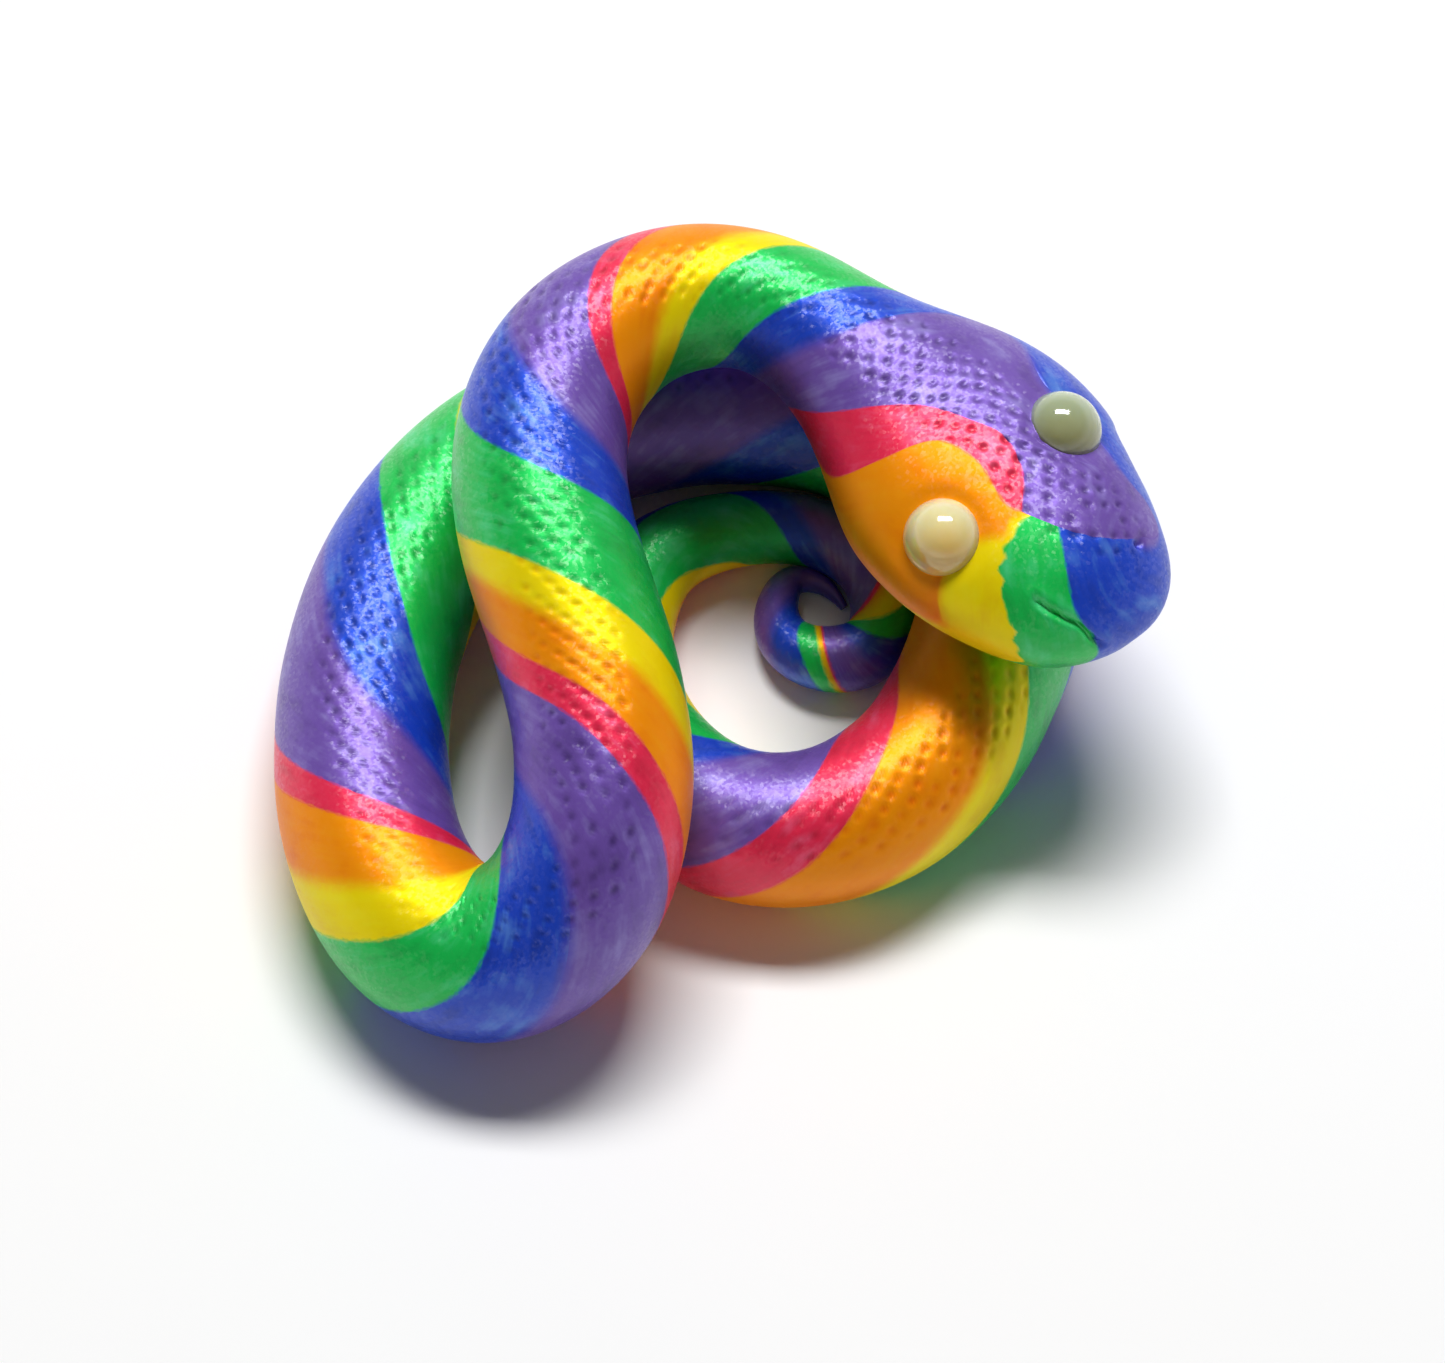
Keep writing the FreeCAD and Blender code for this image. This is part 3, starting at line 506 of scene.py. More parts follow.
# distance from the mouth's line, width and push of the cut, the lip and the jaw's edge, mm
MOUTH_FORMS = [(0.0, 0.16, 0.26), (0.42, 0.30, -0.07), (-0.40, 0.22, -0.04)]
NOSTRIL = (2.24, -13.5)
NOSTRIL_RADIUS = 0.27
NOSTRIL_DEPTH = 0.34
EYES = {"left_eye": (9.15, 41.5), "right_eye": (10.2, -35.0)}
EYE_RADIUS = 2.0
EYE_SEAT = 0.25                            # the bead's edge lies this far under the skin
HOLLOW_WIDTH = 0.55
HOLLOW_DEPTH = 0.10
HOLLOW_REACH = 2.5                         # not as far as the other side of the head

mouth_points = skin(MOUTH[:, 0], MOUTH[:, 1])
nostril_point = skin(*(np.array([x]) for x in NOSTRIL))[0]
eye_frames = {}
for name, (s, a) in EYES.items():
    axis = outward(np.array([s]), np.array([a]))[0]
    eye_frames[name] = (skin(np.array([s]), np.array([a]))[0] - axis * EYE_SEAT, axis)
print("eye rims at", {k: np.round(v[0], 1).tolist() for k, v in eye_frames.items()})


# %% How far the face is pushed in
def path_distance(points, path):
    """Distance to a polyline, with its sign: below zero under the line, on the jaw. The
    nearest place on a run from a to b is at the share (p - a).(b - a) / (b - a).(b - a),
    kept from 0 to 1."""
    best = np.full(points.shape[:-1], 1e9)
    sign = np.ones_like(best)
    for a, b in zip(path, path[1:]):
        along = b - a
        f = np.clip(((points - a) @ along) / (along @ along), 0, 1)
        gap = points - (a + f[..., None] * along)
        distance = np.linalg.norm(gap, axis=-1)
        nearer = distance < best
        best = np.where(nearer, distance, best)
        sign = np.where(nearer, np.where(gap[..., 2] > 0, 1.0, -1.0), sign)
    return best * sign


def face(points):
    """How far the skin is pushed in at the mouth, the nostril and round the eyes: each is
    a depth times the bell curve exp(-(distance / width) squared)."""
    line = path_distance(points, mouth_points)
    push = sum(depth * np.exp(-((line - away) / width) ** 2)
               for away, width, depth in MOUTH_FORMS)
    prick = np.linalg.norm(points - nostril_point, axis=-1)
    push += NOSTRIL_DEPTH * np.exp(-(prick / NOSTRIL_RADIUS) ** 2)
    for centre, axis in eye_frames.values():
        gap = points - centre
        height = gap @ axis
        radius = np.linalg.norm(gap - height[..., None] * axis, axis=-1)
        near = np.abs(height) < HOLLOW_REACH
        push += HOLLOW_DEPTH * near * np.exp(-((radius - EYE_RADIUS) / HOLLOW_WIDTH) ** 2)
    return push


print("the needle went in %.2f mm" % face(nostril_point[None, :])[0])

# %% [markdown]
# ## From grid to mesh
#
# A strand is closed: its two side walls run down to the middle of the rope, where all the
# strands meet, and a fan closes each end. Whole arrays go straight into the mesh, because
# a loop over nearly half a million points would be slow. Each point also carries three
# vectors for the clay finish: its place along and across the strand, its place among the
# rows of pits, and its distances from the strand's two lines.


# %% A mesh from arrays
def place_mesh(name, points_mm, faces, smooth_faces=True):
    """A mesh object at the origin from points in millimetres and faces."""
    mesh = bpy.data.meshes.new(name)
    points = np.asarray(points_mm, dtype=np.float32) * MM
    corners = np.concatenate([f.ravel() for f in faces]).astype(np.int32)
    sizes = np.concatenate([np.full(len(f), f.shape[1], dtype=np.int32) for f in faces])
    starts = np.concatenate([[0], np.cumsum(sizes)[:-1]]).astype(np.int32)
    mesh.vertices.add(len(points))
    mesh.vertices.foreach_set("co", points.ravel())
    mesh.loops.add(len(corners))
    mesh.loops.foreach_set("vertex_index", corners)
    mesh.polygons.add(len(sizes))
    mesh.polygons.foreach_set("loop_start", starts)
    mesh.polygons.foreach_set("loop_total", sizes)
    mesh.polygons.foreach_set("use_smooth", np.full(len(sizes), smooth_faces))
    mesh.update(calc_edges=True)
    mesh.validate()
    piece = bpy.data.objects.new(name, mesh)
    bpy.context.scene.collection.objects.link(piece)
    return piece


def set_vectors(piece, name, values):
    """A vector attribute on the points of a piece."""
    layer = piece.data.attributes.new(name, "FLOAT_VECTOR", "POINT")
    layer.data.foreach_set("vector", np.asarray(values, dtype=np.float32).ravel())


def grid_faces(rows, columns):
    """Quads between neighbouring rows and columns of a grid of points."""
    index = np.arange(rows * columns).reshape(rows, columns)
    return np.stack([index[:-1, :-1], index[:-1, 1:], index[1:, 1:], index[1:, :-1]],
                    axis=-1).reshape(-1, 4)


def closing_faces(rows, columns):
    """The strand's two side walls, from its lines to the core points that follow the
    grid's, and the fans at its two ends."""
    core = rows * columns
    k = np.arange(rows - 1)
    low = np.stack([k * columns, (k + 1) * columns, core + k + 1, core + k], axis=-1)
    top = k * columns + columns - 1
    high = np.stack([top + columns, top, core + k, core + k + 1], axis=-1)
    j = np.arange(columns - 1)
    start = np.stack([j + 1, j, np.full_like(j, core)], axis=-1)
    last = (rows - 1) * columns
    end = np.stack([last + j, last + j + 1, np.full_like(j, core + rows - 1)], axis=-1)
    return [low, high, start, end]


print("faces that close the violet strand:",
      sum(len(f) for f in closing_faces(len(ROWS), COLUMNS["violet"] + 1)))

# %% [markdown]
# ## Distances for the clay finish
#
# The finish needs to know how far each point lies from the strand's two lines, square to
# them, so that a smear is as wide on a steep line as on a flat one. Two places were
# touched by hand: a finger wiped violet over blue beside the nostril, and the edge of the
# green clay in front of the eye is torn. There the distances are moved, not the mesh.

# %% Distances from the lines
WIPED = 0.9                                # how far violet was wiped over blue, mm
WIPE_RADIUS = 2.2
TORN = 0.22                                # how far the green edge wanders, mm
TORN_HEAD = 0.3                            # on this share of the head
LOOK_AHEAD = 0.5                           # step for the slant of the lines, mm


def true_gap(station):
    """Cosine of the helix angle: turns a distance round the rope into one square to the
    line between strands, since those lines slant by their change of angle per mm."""
    radius = np.maximum(section(station)[3], 0.2)
    here = np.interp(station, LAY[:, 0], LAY[:, 1])
    ahead = np.interp(station + LOOK_AHEAD, LAY[:, 0], LAY[:, 1])
    slant = np.where(station > NECK, np.radians(ahead - here) / LOOK_AHEAD * radius, 0.0)
    return 1.0 / np.sqrt(1.0 + slant * slant)


def line_gaps(colour, points, across, station):
    """Distances from the lower and the upper line, and the strand's width, in mm: the
    distance across times the cosine, moved where the clay was wiped or torn."""
    width = across[:, -1:]
    helix = true_gap(station)
    low_gap, high_gap = across * helix, (width - across) * helix
    wipe = WIPED * np.exp(-(np.linalg.norm(points - nostril_point, axis=-1)
                            / WIPE_RADIUS) ** 2)
    ragged = TORN * np.sin(4.1 * points[..., 1] + 2.0 * np.sin(3.0 * points[..., 2]))
    ragged = ragged * (ROWS < TORN_HEAD * HEAD_ROWS)[:, None]
    moves = {"violet": (wipe, 0.0), "blue": (0.0, -wipe),
             "green": (ragged, 0.0), "yellow": (0.0, -ragged)}
    low_move, high_move = moves.get(colour, (0.0, 0.0))
    return np.stack([low_gap + low_move, high_gap + high_move, width + 0 * across], axis=-1)


half_way = true_gap(np.array([90.0]))[0]
print("the lines slant %.0f degrees in the front strand" % math.degrees(math.acos(half_way)))

# %% [markdown]
# ## Dressing the six strands
#
# Now the parts come together: the skin, pushed in by the marks, the core line that the
# side walls run down to, and the vectors for the finish. No point goes under the tile.
# The edges between skin and walls are marked sharp, so that the skin is shaded by itself.

# %% Six strands
FACE_SHARE = 0.8                           # the face's marks lie on this share of the head
SHARP = 62.0                               # edges between skin and walls, degrees


def core_points():
    """The core of the rope at each row, where all the strands meet."""
    on_head = CORE_START + (NECK - CORE_START) * ROWS / HEAD_ROWS
    station = np.where(ROWS < HEAD_ROWS, on_head,
                       body_station(np.maximum(ROWS - HEAD_ROWS, 0)))
    return middle(np.interp(station, table_s, table_t))


def along_and_across(points):
    """Lengths in mm, along the strand's middle column and across each row: the steps
    between neighbouring points, added up."""
    columns = points.shape[1]
    along = np.linalg.norm(np.diff(points[:, columns // 2], axis=0), axis=-1)
    along = np.concatenate([[0.0], np.cumsum(along)])[:, None] + np.zeros((1, columns))
    steps = np.linalg.norm(np.diff(points, axis=1), axis=-1)
    across = np.concatenate([np.zeros((len(points), 1)), np.cumsum(steps, axis=1)], axis=1)
    return along, across


def strand_piece(strand):
    """The closed, finely dented surface of one strand."""
    colour = STRANDS[strand]
    station, angle = strand_places(strand, ROWS)
    points = skin(station, angle)
    marks = pit_rows(station, angle)
    push = pits(*marks) + swell(station, angle)
    on_head = ROWS < HEAD_ROWS * FACE_SHARE
    push[on_head] += face(points[on_head])
    points = points - outward(station, angle) * push[..., None]
    points[..., 2] = np.maximum(points[..., 2], 0.0)
    core = core_points()
    piece = place_mesh(colour + "_clay_strand",
                       np.concatenate([points.reshape(-1, 3), core]),
                       [grid_faces(*station.shape)] + closing_faces(*station.shape))
    along, across = along_and_across(points)
    lay = np.stack([along, across - across[:, -1:] / 2, station], axis=-1)
    edge = line_gaps(colour, points, across, station)
    for name, values in (("lay", lay), ("pit", np.stack(marks, axis=-1)), ("edge", edge)):
        values = np.concatenate([values.reshape(-1, 3), np.zeros_like(core)])
        set_vectors(piece, name, values)
    piece.data.set_sharp_from_angle(angle=math.radians(SHARP))
    return piece


strands = {}
for number, colour in enumerate(STRANDS):
    piece = strand_piece(number)
    node = colour + "_strand"
    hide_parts(node)
    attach(piece, "root")
    strands[colour] = piece
    print(piece.name, len(piece.data.polygons), "faces")

# %% [markdown]
# ## The eye beads
#
# Each eye is a half-round cabochon: a flat back, a short straight rim and a dome. It is a
# profile turned about its own axis, so the surface takes two parameters, the place on the
# profile and the turn. A squashed sphere would be quicker, but it has no rim to catch the
# thin bright line of light that shows where the bead meets the clay.

# %% Turned beads
EYE_RISE = 1.45                            # of the dome, mm
EYE_BACK = 1.2                             # depth of the flat back
HEEL = 0.12                                # radius of the rounded edge of the back
RIM_DROP = 0.4                             # the straight rim runs down to here
TURNS = 72                                 # faces round the bead
HEEL_POINTS = 5
DOME_POINTS = 33
BEAD_SHARP = 50.0                          # only the rim's edges are sharp, degrees


def bead_profile():
    """Radius and height: back, rounded heel, straight rim, then a circular dome whose
    radius is (r squared + rise squared) / (2 rise)."""
    dome = (EYE_RADIUS ** 2 + EYE_RISE ** 2) / (2 * EYE_RISE)
    start = math.asin(EYE_RADIUS / dome)
    heel = np.linspace(-90, 0, HEEL_POINTS)
    arc = np.linspace(start, 0, DOME_POINTS)
    heel_r = EYE_RADIUS - HEEL + HEEL * np.cos(np.radians(heel))
    heel_h = -EYE_BACK + HEEL + HEEL * np.sin(np.radians(heel))
    return (np.concatenate([heel_r, [EYE_RADIUS], dome * np.sin(arc)]),
            np.concatenate([heel_h, [-RIM_DROP], EYE_RISE - dome + dome * np.cos(arc)]))


def bead_piece(name):
    """The profile turned about the eye's axis: centre + axis * height + two directions
    square to the axis * radius * (cosine and sine of the turn)."""
    centre, axis = eye_frames[name]
    radius, height = bead_profile()
    radius, height = radius[:-1], height[:-1]
    turn = np.linspace(0, 2 * np.pi, TURNS, endpoint=False)
    first = np.cross(axis, [0.0, 0.0, 1.0])
    first /= np.linalg.norm(first)
    second = np.cross(axis, first)
    points = (centre + axis * height[:, None, None]
              + (first * np.cos(turn)[None, :, None] + second * np.sin(turn)[None, :, None])
              * radius[:, None, None])
    rings = len(radius)
    index = np.arange(rings * TURNS).reshape(rings, TURNS)
    after = np.roll(index, -1, axis=1)
    quads = np.stack([index[:-1], after[:-1], after[1:], index[1:]], axis=-1).reshape(-1, 4)
    back, top = rings * TURNS, rings * TURNS + 1
    back_fan = np.stack([after[0], index[0], np.full(TURNS, back)], axis=-1)
    top_fan = np.stack([index[-1], after[-1], np.full(TURNS, top)], axis=-1)
    ends = np.array([centre - axis * EYE_BACK, centre + axis * EYE_RISE])
    piece = place_mesh(name + "_bead", np.concatenate([points.reshape(-1, 3), ends]),
                       [quads, back_fan, top_fan])
    piece.data.set_sharp_from_angle(angle=math.radians(BEAD_SHARP))
    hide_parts(name)
    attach(piece, "root")
    return piece


beads = {name: bead_piece(name) for name in EYES}
print("beads:", ", ".join(b.name for b in beads.values()))

# %% [markdown]
# ## Pearl clay
#
# Pearl polymer clay is pigmented PVC clay with mica flakes in it. Rolling lays the flakes
# flat, so the clay has a broad pale sheen with fine glints in it, and kneading leaves it
# softly clouded. Where two strands touch, their clay smears together a little. The finish
# is mixed from clouds in the clay, flakes from a cell pattern that tip the coat's
# normals, and the distances to the strand's two lines.


# %% Helpers for finishes
def linear(code):
    """sRGB hex to linear: below 0.04045 divide by 12.92, above it a 2.4 power."""
    channels = [int(code[i:i + 2], 16) / 255 for i in (1, 3, 5)]
    return tuple(c / 12.92 if c <= 0.04045 else ((c + 0.055) / 1.055) ** 2.4
                 for c in channels) + (1.0,)


def add(tree, kind, inputs=None, **settings):
    """One shader node with its settings; each input is a value or a socket to link."""
    node = tree.nodes.new(kind)
    for key, value in settings.items():
        setattr(node, key, value)
    for key, value in (inputs or {}).items():
        if isinstance(value, bpy.types.NodeSocket):
            tree.links.new(value, node.inputs[key])
        else:
            node.inputs[key].default_value = value
    return node


def new_finish(name):
    """An empty material with a Principled shader, as (material, tree, shader)."""
    material = bpy.data.materials.new(name)
    material.use_nodes = True
    tree = material.node_tree
    tree.nodes.clear()
    shader = add(tree, "ShaderNodeBsdfPrincipled")
    add(tree, "ShaderNodeOutputMaterial", {"Surface": shader.outputs["BSDF"]})
    return material, tree, shader


print("middle grey #808080 is", round(linear("#808080")[0], 3), "in linear light")

# %% [markdown]
# ## Colours, smears and painted shade in the pits
#
# Six clays, each with a body colour, the pale clouds that mica makes in it and the deep
# clouds of barely mixed pigment. Yellow and orange smear far into each other, and so do
# violet and blue; the other lines stay crisp. The pits are found again in the shader from
# the place among the rows that each point keeps, because that is sharper than the mesh.

# %% Colours of the clays
CLAY = {
    # body colour, its pale clouds, its deep clouds
    "red": ("#F2244E", "#FF8CBC", "#C01032"),
    "orange": ("#FF9600", "#FFB216", "#F27400"),
    "yellow": ("#FFE600", "#FFF62A", "#F2C000"),
    "green": ("#00C850", "#6CF2B8", "#029438"),
    "blue": ("#0C40CC", "#7CBEFA", "#082890"),
    "violet": ("#7250B0", "#B4B0EE", "#4A2E7C"),
}
# how far the clay smears over each line, in mm, by the pair of strands
SMEAR = {("red", "violet"): 0.10, ("orange", "red"): 0.12, ("yellow", "orange"): 0.55,
         ("green", "yellow"): 0.14, ("blue", "green"): 0.12, ("violet", "blue"): 0.5}
# the deeper colours hold more loose mica at the surface, which whitens their sheen
SHEEN = {"red": 0.8, "orange": 0.3, "yellow": 0.3, "green": 0.9, "blue": 0.9, "violet": 0.8}
print("clays:", ", ".join(name + " " + codes[0] for name, codes in CLAY.items()))


# %% Smears and dimples
def smeared(tree, own, other, distance, wobble, smear):
    """Own colour well inside the strand, an even mix on the line, the other's beyond: a
    smooth step of the distance plus the wobble, from - smear to + smear."""
    moved = add(tree, "ShaderNodeMath", {0: distance, 1: wobble}, operation="ADD")
    part = add(tree, "ShaderNodeMapRange",
               {"Value": moved.outputs[0], "From Min": -smear, "From Max": smear,
                "To Min": 1.0, "To Max": 0.0}, interpolation_type="SMOOTHSTEP")
    mix = add(tree, "ShaderNodeMix", {"Factor": part.outputs[0], "A": own, "B": other},
              data_type="RGBA")
    return mix.outputs["Result"]


def dimple(tree, pit):
    """From 0 on the open skin to 1 in the middle of a pit: the distance to the nearest
    whole number of both rows, turned over and multiplied by the pressure."""
    press = add(tree, "ShaderNodeSeparateXYZ", {"Vector": pit}).outputs["Z"]
    half = add(tree, "ShaderNodeVectorMath", {0: pit, 1: (0.5, 0.5, 0.0)}, operation="ADD")
    part = add(tree, "ShaderNodeVectorMath", {0: half.outputs[0]}, operation="FRACTION")
    part = add(tree, "ShaderNodeVectorMath", {0: part.outputs[0], 1: (0.5, 0.5, 0.0)},
               operation="SUBTRACT")
    part = add(tree, "ShaderNodeVectorMath", {0: part.outputs[0], 1: (1.0, 1.0, 0.0)},
               operation="MULTIPLY")
    away = add(tree, "ShaderNodeVectorMath", {0: part.outputs[0]}, operation="LENGTH")
    near = add(tree, "ShaderNodeMapRange",
               {"Value": away.outputs["Value"], "From Min": 0.0,
                "From Max": PIT_RADIUS / PITCH, "To Min": 1.0, "To Max": 0.0},
               interpolation_type="SMOOTHSTEP")
    deep = add(tree, "ShaderNodeMath", {0: near.outputs[0], 1: press},
               operation="MULTIPLY")
    return deep.outputs[0]


print("widest smear %.2f mm, pits %.2f mm across" % (max(SMEAR.values()), 2 * PIT_RADIUS))

# %% [markdown]
# ## The clay finish
#
# Baked mica clay is satin. The body of the clay reflects the lamp broadly and in its own
# colour, as flakes under the surface do, which a little metallic and a tinted specular
# give. A rough coat over it stands for the flakes at the surface: its normals are tipped
# cell by cell, so it breaks up into glints.

# %% Clouds and flakes
CLOUD = 2.2                                # width of the clouds, mm
GRAIN = 0.45                               # fine unevenness of the skin, mm
FLAKE = 0.16                               # mica glints, drawn large enough to show, mm
FLAKE_TIP = 0.3                            # how far the flakes lean
# painted shade: a pit is painted towards the deep colour by this share
PIT_PAINTED_SHADE = 0.9                                # share of the deep colour in a pit


def cloudy(tree, place, lay, tones):
    """Clouds, and faint streaks drawn out along the strand: mixed noise, whose high values
    turn the body colour paler and whose low values turn it deeper."""
    body, light, dark = tones
    cloud = add(tree, "ShaderNodeTexNoise",
                {"Vector": place, "Scale": 1.0 / (CLOUD * MM), "Detail": 4.0}).outputs["Fac"]
    drawn = add(tree, "ShaderNodeMapping", {"Vector": lay, "Scale": (0.3, 1.6, 0.02)})
    streak = add(tree, "ShaderNodeTexNoise",
                 {"Vector": drawn.outputs[0], "Scale": 1.0, "Detail": 2.0}).outputs["Fac"]
    mottle = add(tree, "ShaderNodeMix", {"Factor": 0.35, "A": cloud, "B": streak})
    mottle = mottle.outputs["Result"]
    paler = add(tree, "ShaderNodeMapRange", {"Value": mottle, "From Min": 0.52,
                                             "From Max": 0.72, "To Max": 0.42})
    darker = add(tree, "ShaderNodeMapRange", {"Value": mottle, "From Min": 0.48,
                                              "From Max": 0.30, "To Max": 0.55})
    tone = add(tree, "ShaderNodeMix", {"Factor": paler.outputs[0], "A": body, "B": light},
               data_type="RGBA").outputs["Result"]
    return add(tree, "ShaderNodeMix", {"Factor": darker.outputs[0], "A": tone, "B": dark},
               data_type="RGBA").outputs["Result"]


def flaked(tree, place, normal):
    """The normal plus a random lean for each cell of a cell pattern, of length one."""
    cells = add(tree, "ShaderNodeTexVoronoi",
                {"Vector": place, "Scale": 1.0 / (FLAKE * MM)})
    tip = add(tree, "ShaderNodeVectorMath",
              {0: cells.outputs["Color"], 1: (0.5, 0.5, 0.5)}, operation="SUBTRACT")
    tip = add(tree, "ShaderNodeVectorMath", {0: tip.outputs[0], "Scale": FLAKE_TIP},
              operation="SCALE")
    lean = add(tree, "ShaderNodeVectorMath", {0: normal, 1: tip.outputs[0]},
               operation="ADD")
    return add(tree, "ShaderNodeVectorMath", {0: lean.outputs[0]},
               operation="NORMALIZE").outputs[0]


print("clouds %.1f mm wide, flakes %.2f mm" % (CLOUD, FLAKE))


# %% The clay finish
def clay_finish(colour):
    """Mica polymer clay, hand rolled and baked: satin, softly clouded, with glints."""
    number = STRANDS.index(colour)
    below, above = STRANDS[number - 1], STRANDS[(number + 1) % 6]
    material, tree, shader = new_finish(colour + "_pearl_clay")
    tones = [linear(code) for code in CLAY[colour]]
    place = add(tree, "ShaderNodeTexCoord").outputs["Object"]
    lay = add(tree, "ShaderNodeAttribute", attribute_name="lay").outputs["Vector"]
    edge = add(tree, "ShaderNodeAttribute", attribute_name="edge").outputs["Vector"]
    pit = add(tree, "ShaderNodeAttribute", attribute_name="pit").outputs["Vector"]
    gaps = add(tree, "ShaderNodeSeparateXYZ", {"Vector": edge})
    tone = cloudy(tree, place, lay, tones)
    grain = add(tree, "ShaderNodeTexNoise",
                {"Vector": place, "Scale": 1.0 / (GRAIN * MM), "Detail": 2.0}).outputs["Fac"]
    wobble = add(tree, "ShaderNodeMapRange", {"Value": grain, "From Min": 0.3,
                                              "From Max": 0.7, "To Min": -0.05,
                                              "To Max": 0.05}).outputs[0]
    low_pair = (colour, below) if number else ("red", "violet")
    high_pair = (above, colour) if number < 5 else ("red", "violet")
    tone = smeared(tree, tone, linear(CLAY[below][0]), gaps.outputs["X"], wobble,
                   SMEAR[low_pair])
    tone = smeared(tree, tone, linear(CLAY[above][0]), gaps.outputs["Y"], wobble,
                   SMEAR[high_pair])
    # Painted shade darkens the pits towards the deep colour, and their walls
    # are sharper than the mesh.
    deep = dimple(tree, pit)
    painted_pit_shade = add(tree, "ShaderNodeMath", {0: deep, 1: PIT_PAINTED_SHADE}, operation="MULTIPLY")
    tone = add(tree, "ShaderNodeMix", {"Factor": painted_pit_shade.outputs[0], "A": tone,
                                       "B": tones[2]}, data_type="RGBA").outputs["Result"]
    skin_bump = add(tree, "ShaderNodeBump", {"Height": grain, "Strength": 0.25,
                                             "Distance": 0.008 * MM})
    bump = add(tree, "ShaderNodeBump", {"Height": deep, "Strength": 1.0,
                                        "Distance": 0.03 * MM,
                                        "Normal": skin_bump.outputs["Normal"]}, invert=True)
    normal = bump.outputs["Normal"]
    tree.links.new(tone, shader.inputs["Base Color"])
    tree.links.new(normal, shader.inputs["Normal"])
    tree.links.new(flaked(tree, place, normal), shader.inputs["Coat Normal"])
    shader.inputs["Roughness"].default_value = 0.47
    shader.inputs["Metallic"].default_value = 0.32
    shader.inputs["IOR"].default_value = 1.5
    shader.inputs["Specular Tint"].default_value = tones[1]
    shader.inputs["Coat Weight"].default_value = SHEEN[colour]
    shader.inputs["Coat Roughness"].default_value = 0.36
    return material


for colour, piece in strands.items():
    piece.data.materials.append(clay_finish(colour))
print("clay finishes:", len(strands))

# %% [markdown]
# ## Milky glass beads
#
# The beads are cast milky glass, clouded inside and polished outside. Light goes into
# them and comes back soft, so they glow more than the clay does, and one small sharp
# reflection of the lamp sits on each dome. The front of each bead is also painted a
# deeper, warmer colour: a painted glow of the lamp light that comes out through the
# dome. The left bead is ivory; the right one is thinner and lets the dark clay behind it
# show, which turns it grey-green.

# %% Bead finishes
BEAD_CLOUDS = 700.0                        # per metre: each is about 1.4 mm wide
# painted glow: the bead's colour deepens towards the front, between these two places
GLOW_PAINT_FROM = 1.0                            # the lower colour comes in from here
GLOW_PAINT_TO = -2.0                             # to here, mm along Y from the bead's middle


def bead_finish(name, eye, upper, glow_colour, clear):
    """Cast opal glass: cloudy under a polished surface, with a painted glow that deepens its
    colour towards the front. Clear is the share of light that passes straight through."""
    material, tree, shader = new_finish(name)
    place = add(tree, "ShaderNodeTexCoord").outputs["Object"]
    cloud = add(tree, "ShaderNodeTexNoise",
                {"Vector": place, "Scale": BEAD_CLOUDS, "Detail": 3.0}).outputs["Fac"]
    down = add(tree, "ShaderNodeSeparateXYZ", {"Vector": place}).outputs["Y"]
    middle_y = eye_frames[eye][0][1] * MM
    # painted glow, deeper towards the front of the bead, where lamp light comes out of the
    # dome
    painted_glow = add(tree, "ShaderNodeMapRange",
               {"Value": down, "From Min": middle_y + GLOW_PAINT_FROM * MM,
                "From Max": middle_y + GLOW_PAINT_TO * MM}, interpolation_type="SMOOTHSTEP")
    part = add(tree, "ShaderNodeMix", {"Factor": 0.3, "A": painted_glow.outputs[0], "B": cloud})
    mix = add(tree, "ShaderNodeMix", {"Factor": part.outputs["Result"],
                                      "A": linear(upper), "B": linear(glow_colour)},
              data_type="RGBA")
    tree.links.new(mix.outputs["Result"], shader.inputs["Base Color"])
    shader.inputs["Roughness"].default_value = 0.12
    shader.inputs["IOR"].default_value = 1.52
    shader.inputs["Transmission Weight"].default_value = clear
    shader.inputs["Subsurface Weight"].default_value = 0.9
    shader.inputs["Subsurface Radius"].default_value = (1.0, 0.85, 0.5)
    shader.inputs["Subsurface Scale"].default_value = 2.0 * MM
    shader.inputs["Coat Weight"].default_value = 1.0
    shader.inputs["Coat Roughness"].default_value = 0.03
    return material


beads["left_eye"].data.materials.append(
    bead_finish("ivory_opal_glass", "left_eye", "#FFF0C4", "#F6C658", 0.05))
beads["right_eye"].data.materials.append(
    bead_finish("smoky_opal_glass", "right_eye", "#BACCAC", "#B2B070", 0.25))
print("bead finishes: ivory and smoky")

# %% [markdown]
# ## Table and backdrop
#
# The coil lies on a matt white table, which catches its shadow. The backdrop round it is
# white for the camera, through the glass and low in reflections, and a dim ceiling closes
# it higher up. As a light it is weak, because an even light from all sides would wash out
# the sheen. The world's shader tells these apart by the kind of ray that meets it.

# %% Table
scene = bpy.context.scene
TABLE_CLOUDS = 30.0                        # per metre: each is about 33 mm wide
TABLE_HALF = 3000.0                        # half the table's side, mm


def floor_finish():
    """Matt white table: a little uneven, so that it isn't one flat tone."""
    material, tree, shader = new_finish("white_table")
    place = add(tree, "ShaderNodeTexCoord").outputs["Object"]
    cloud = add(tree, "ShaderNodeTexNoise",
                {"Vector": place, "Scale": TABLE_CLOUDS}).outputs["Fac"]
    mix = add(tree, "ShaderNodeMix", {"Factor": cloud, "A": linear("#FCFCFC"),
                                      "B": linear("#FFFFFF")}, data_type="RGBA")
    tree.links.new(mix.outputs["Result"], shader.inputs["Base Color"])
    shader.inputs["Roughness"].default_value = 0.8
    return material


corners = TABLE_HALF * np.array([(-1, -1, 0), (1, -1, 0), (1, 1, 0), (-1, 1, 0)])
floor = place_mesh("table_top", corners, [np.array([[0, 1, 2, 3]])], smooth_faces=False)
floor.data.materials.append(floor_finish())
print("table %.0f m square" % (2 * TABLE_HALF * MM))

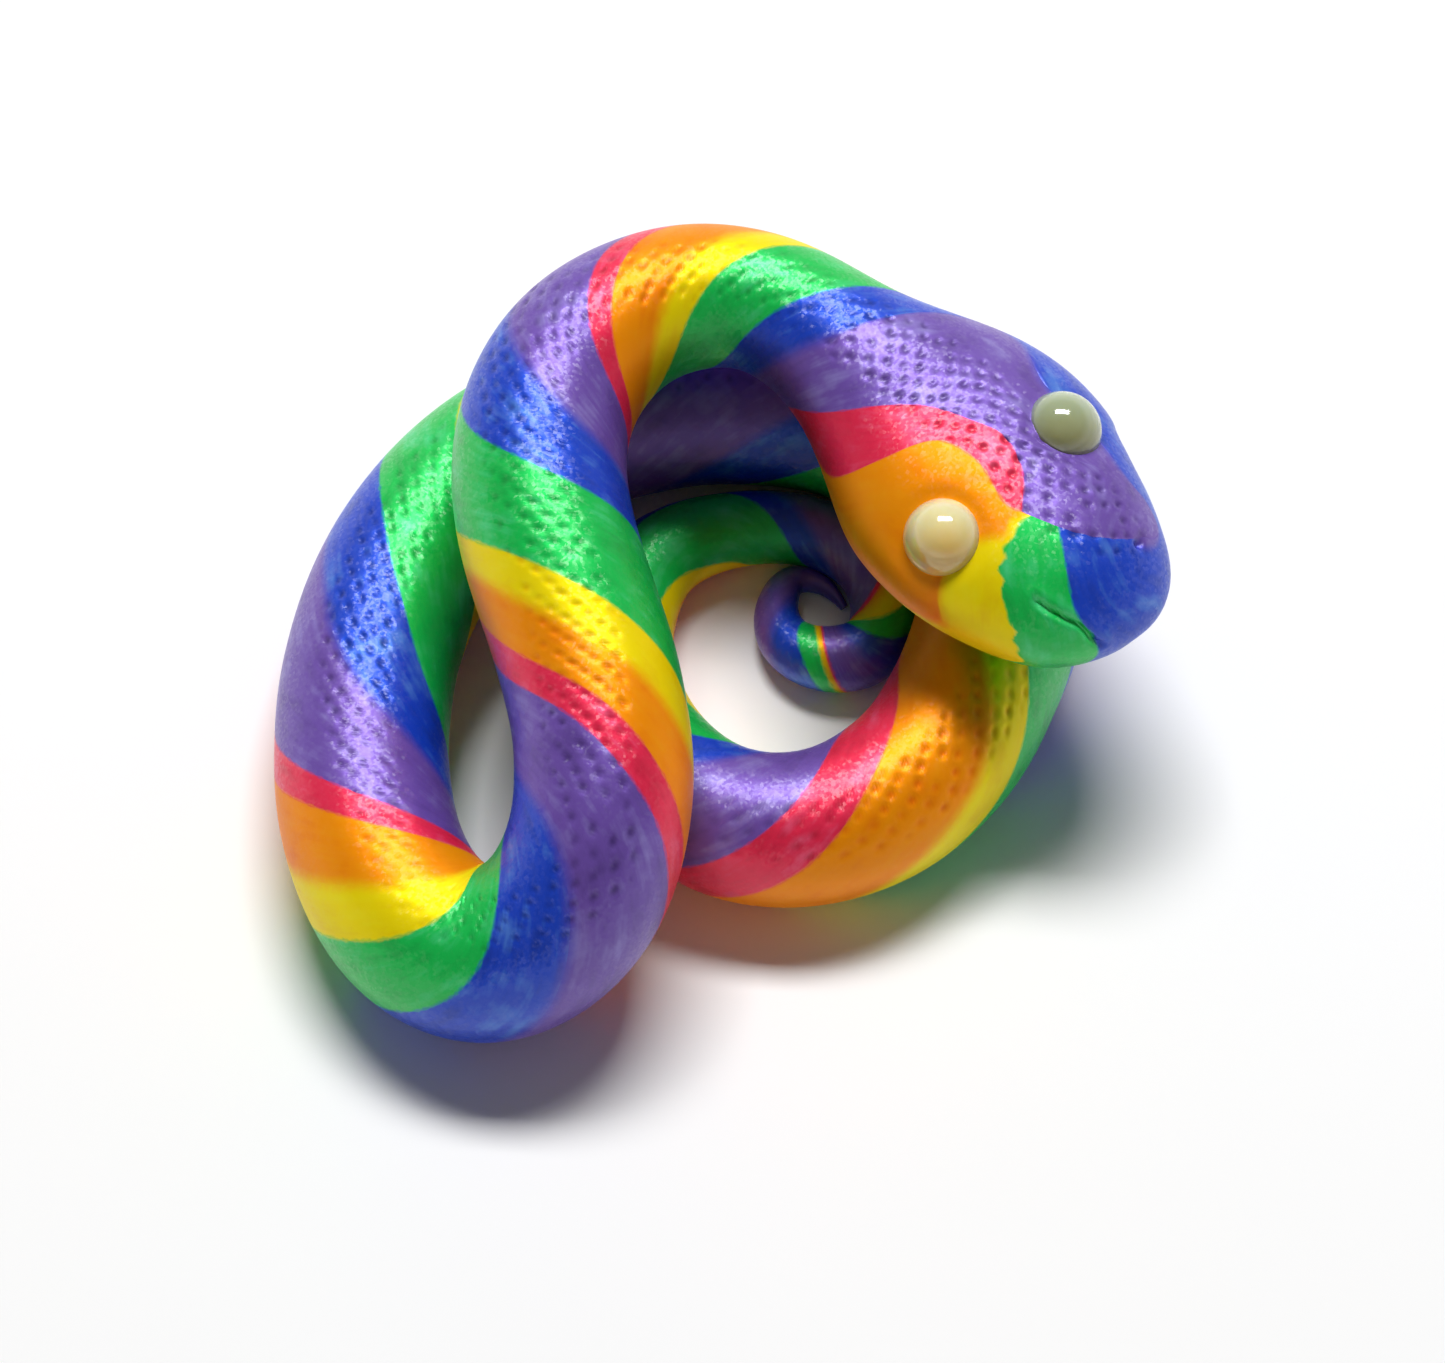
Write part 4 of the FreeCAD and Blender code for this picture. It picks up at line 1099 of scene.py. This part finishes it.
# %% Backdrop
AMBIENT = 0.1                              # strength of the world as a light
CEILING = 0.12                             # strength of the ceiling in reflections
CEILING_FROM = 0.1                         # sine of the height at which it starts
CEILING_TO = 0.5                           # and at which it is closed

world = bpy.data.worlds.new("studio")
scene.world = world
world.use_nodes = True
sky = world.node_tree
sky.nodes.clear()
rays = add(sky, "ShaderNodeLightPath").outputs
way = add(sky, "ShaderNodeTexCoord").outputs["Generated"]
height = add(sky, "ShaderNodeSeparateXYZ", {"Vector": way}).outputs["Z"]
dim = add(sky, "ShaderNodeMapRange", {"Value": height, "From Min": CEILING_FROM,
                                      "From Max": CEILING_TO,
                                      "To Min": 1.0, "To Max": CEILING})
seen = add(sky, "ShaderNodeMath", {0: rays["Is Camera Ray"], 1: rays["Is Transmission Ray"]},
           operation="MAXIMUM")
backdrop = add(sky, "ShaderNodeMath", {0: seen.outputs[0], 1: dim.outputs[0]},
               operation="MAXIMUM")
shown = add(sky, "ShaderNodeMath", {0: seen.outputs[0], 1: rays["Is Glossy Ray"]},
            operation="MAXIMUM")
level = add(sky, "ShaderNodeMix", {"Factor": shown.outputs[0], "A": AMBIENT,
                                   "B": backdrop.outputs[0]}).outputs["Result"]
shell = add(sky, "ShaderNodeBackground", {"Color": (1.0, 1.0, 1.0, 1.0), "Strength": level})
add(sky, "ShaderNodeOutputWorld", {"Surface": shell.outputs[0]})
print("backdrop 1.0 for the camera and %.1f as a light" % AMBIENT)

# %% [markdown]
# ## Lamps
#
# A small glossy object shows its lamps, so there are few: one wide, shallow softbox
# almost overhead and a little behind the coil, which puts the sheen along the top of
# every curve and leaves the inside of the arch dark, and a weak, low one in front. A lamp
# shines along its own -Z, so its local Z is turned to point away from the coil, along the
# direction in which the lamp stands.

# %% Lamps
from mathutils import Vector


def softbox(name, direction, distance, width, depth, power):
    """A rectangular lamp aimed at the coil from a direction, sizes in metres."""
    data = bpy.data.lights.new(name, "AREA")
    data.shape = "RECTANGLE"
    data.size = width
    data.size_y = depth
    data.energy = power
    lamp = bpy.data.objects.new(name, data)
    lamp.location = Vector(direction).normalized() * distance
    lamp.rotation_euler = Vector(direction).to_track_quat("Z", "Y").to_euler()
    scene.collection.objects.link(lamp)
    print("%s lamp: %.2f x %.2f m, %.1f W" % (name, width, depth, power))


softbox("overhead", (0.03, 0.44, 0.9), 1.0, 0.6, 0.22, 10.6)
softbox("front", (-0.3, -1.0, 0.2), 1.2, 1.0, 0.35, 0.35)

# %% [markdown]
# ## Camera
#
# The camera looks down at the coil from the front. It stands 30 cm off with a long lens,
# so the near and far parts of a small object differ a little in size, as they do to the
# eye. Its place is the aim plus the distance times the direction back to the camera.

# %% Camera
VIEW_ELEVATION = 60.0                      # degrees above the table
VIEW_DISTANCE = 300.0                      # mm
LENS = 142.0                               # mm
SENSOR = 36.0                              # width, mm
AIM_HEIGHT = 5.0                           # above the table, mm
aim = np.array([CENTRE[0], CENTRE[1], AIM_HEIGHT])
rise = math.radians(VIEW_ELEVATION)
back = np.array([0.0, -math.cos(rise), math.sin(rise)])
camera_data = bpy.data.cameras.new("camera")
camera_data.sensor_width = SENSOR
camera_data.lens = LENS
camera_data.clip_start = 0.01
camera_data.clip_end = 20.0
camera = bpy.data.objects.new("camera", camera_data)
camera.location = (aim + back * VIEW_DISTANCE) * MM
camera.rotation_euler = (math.radians(90 - VIEW_ELEVATION), 0.0, 0.0)
scene.collection.objects.link(camera)
scene.camera = camera
scene.view_settings.view_transform = "Standard"
print("camera at", [round(c, 3) for c in camera.location])
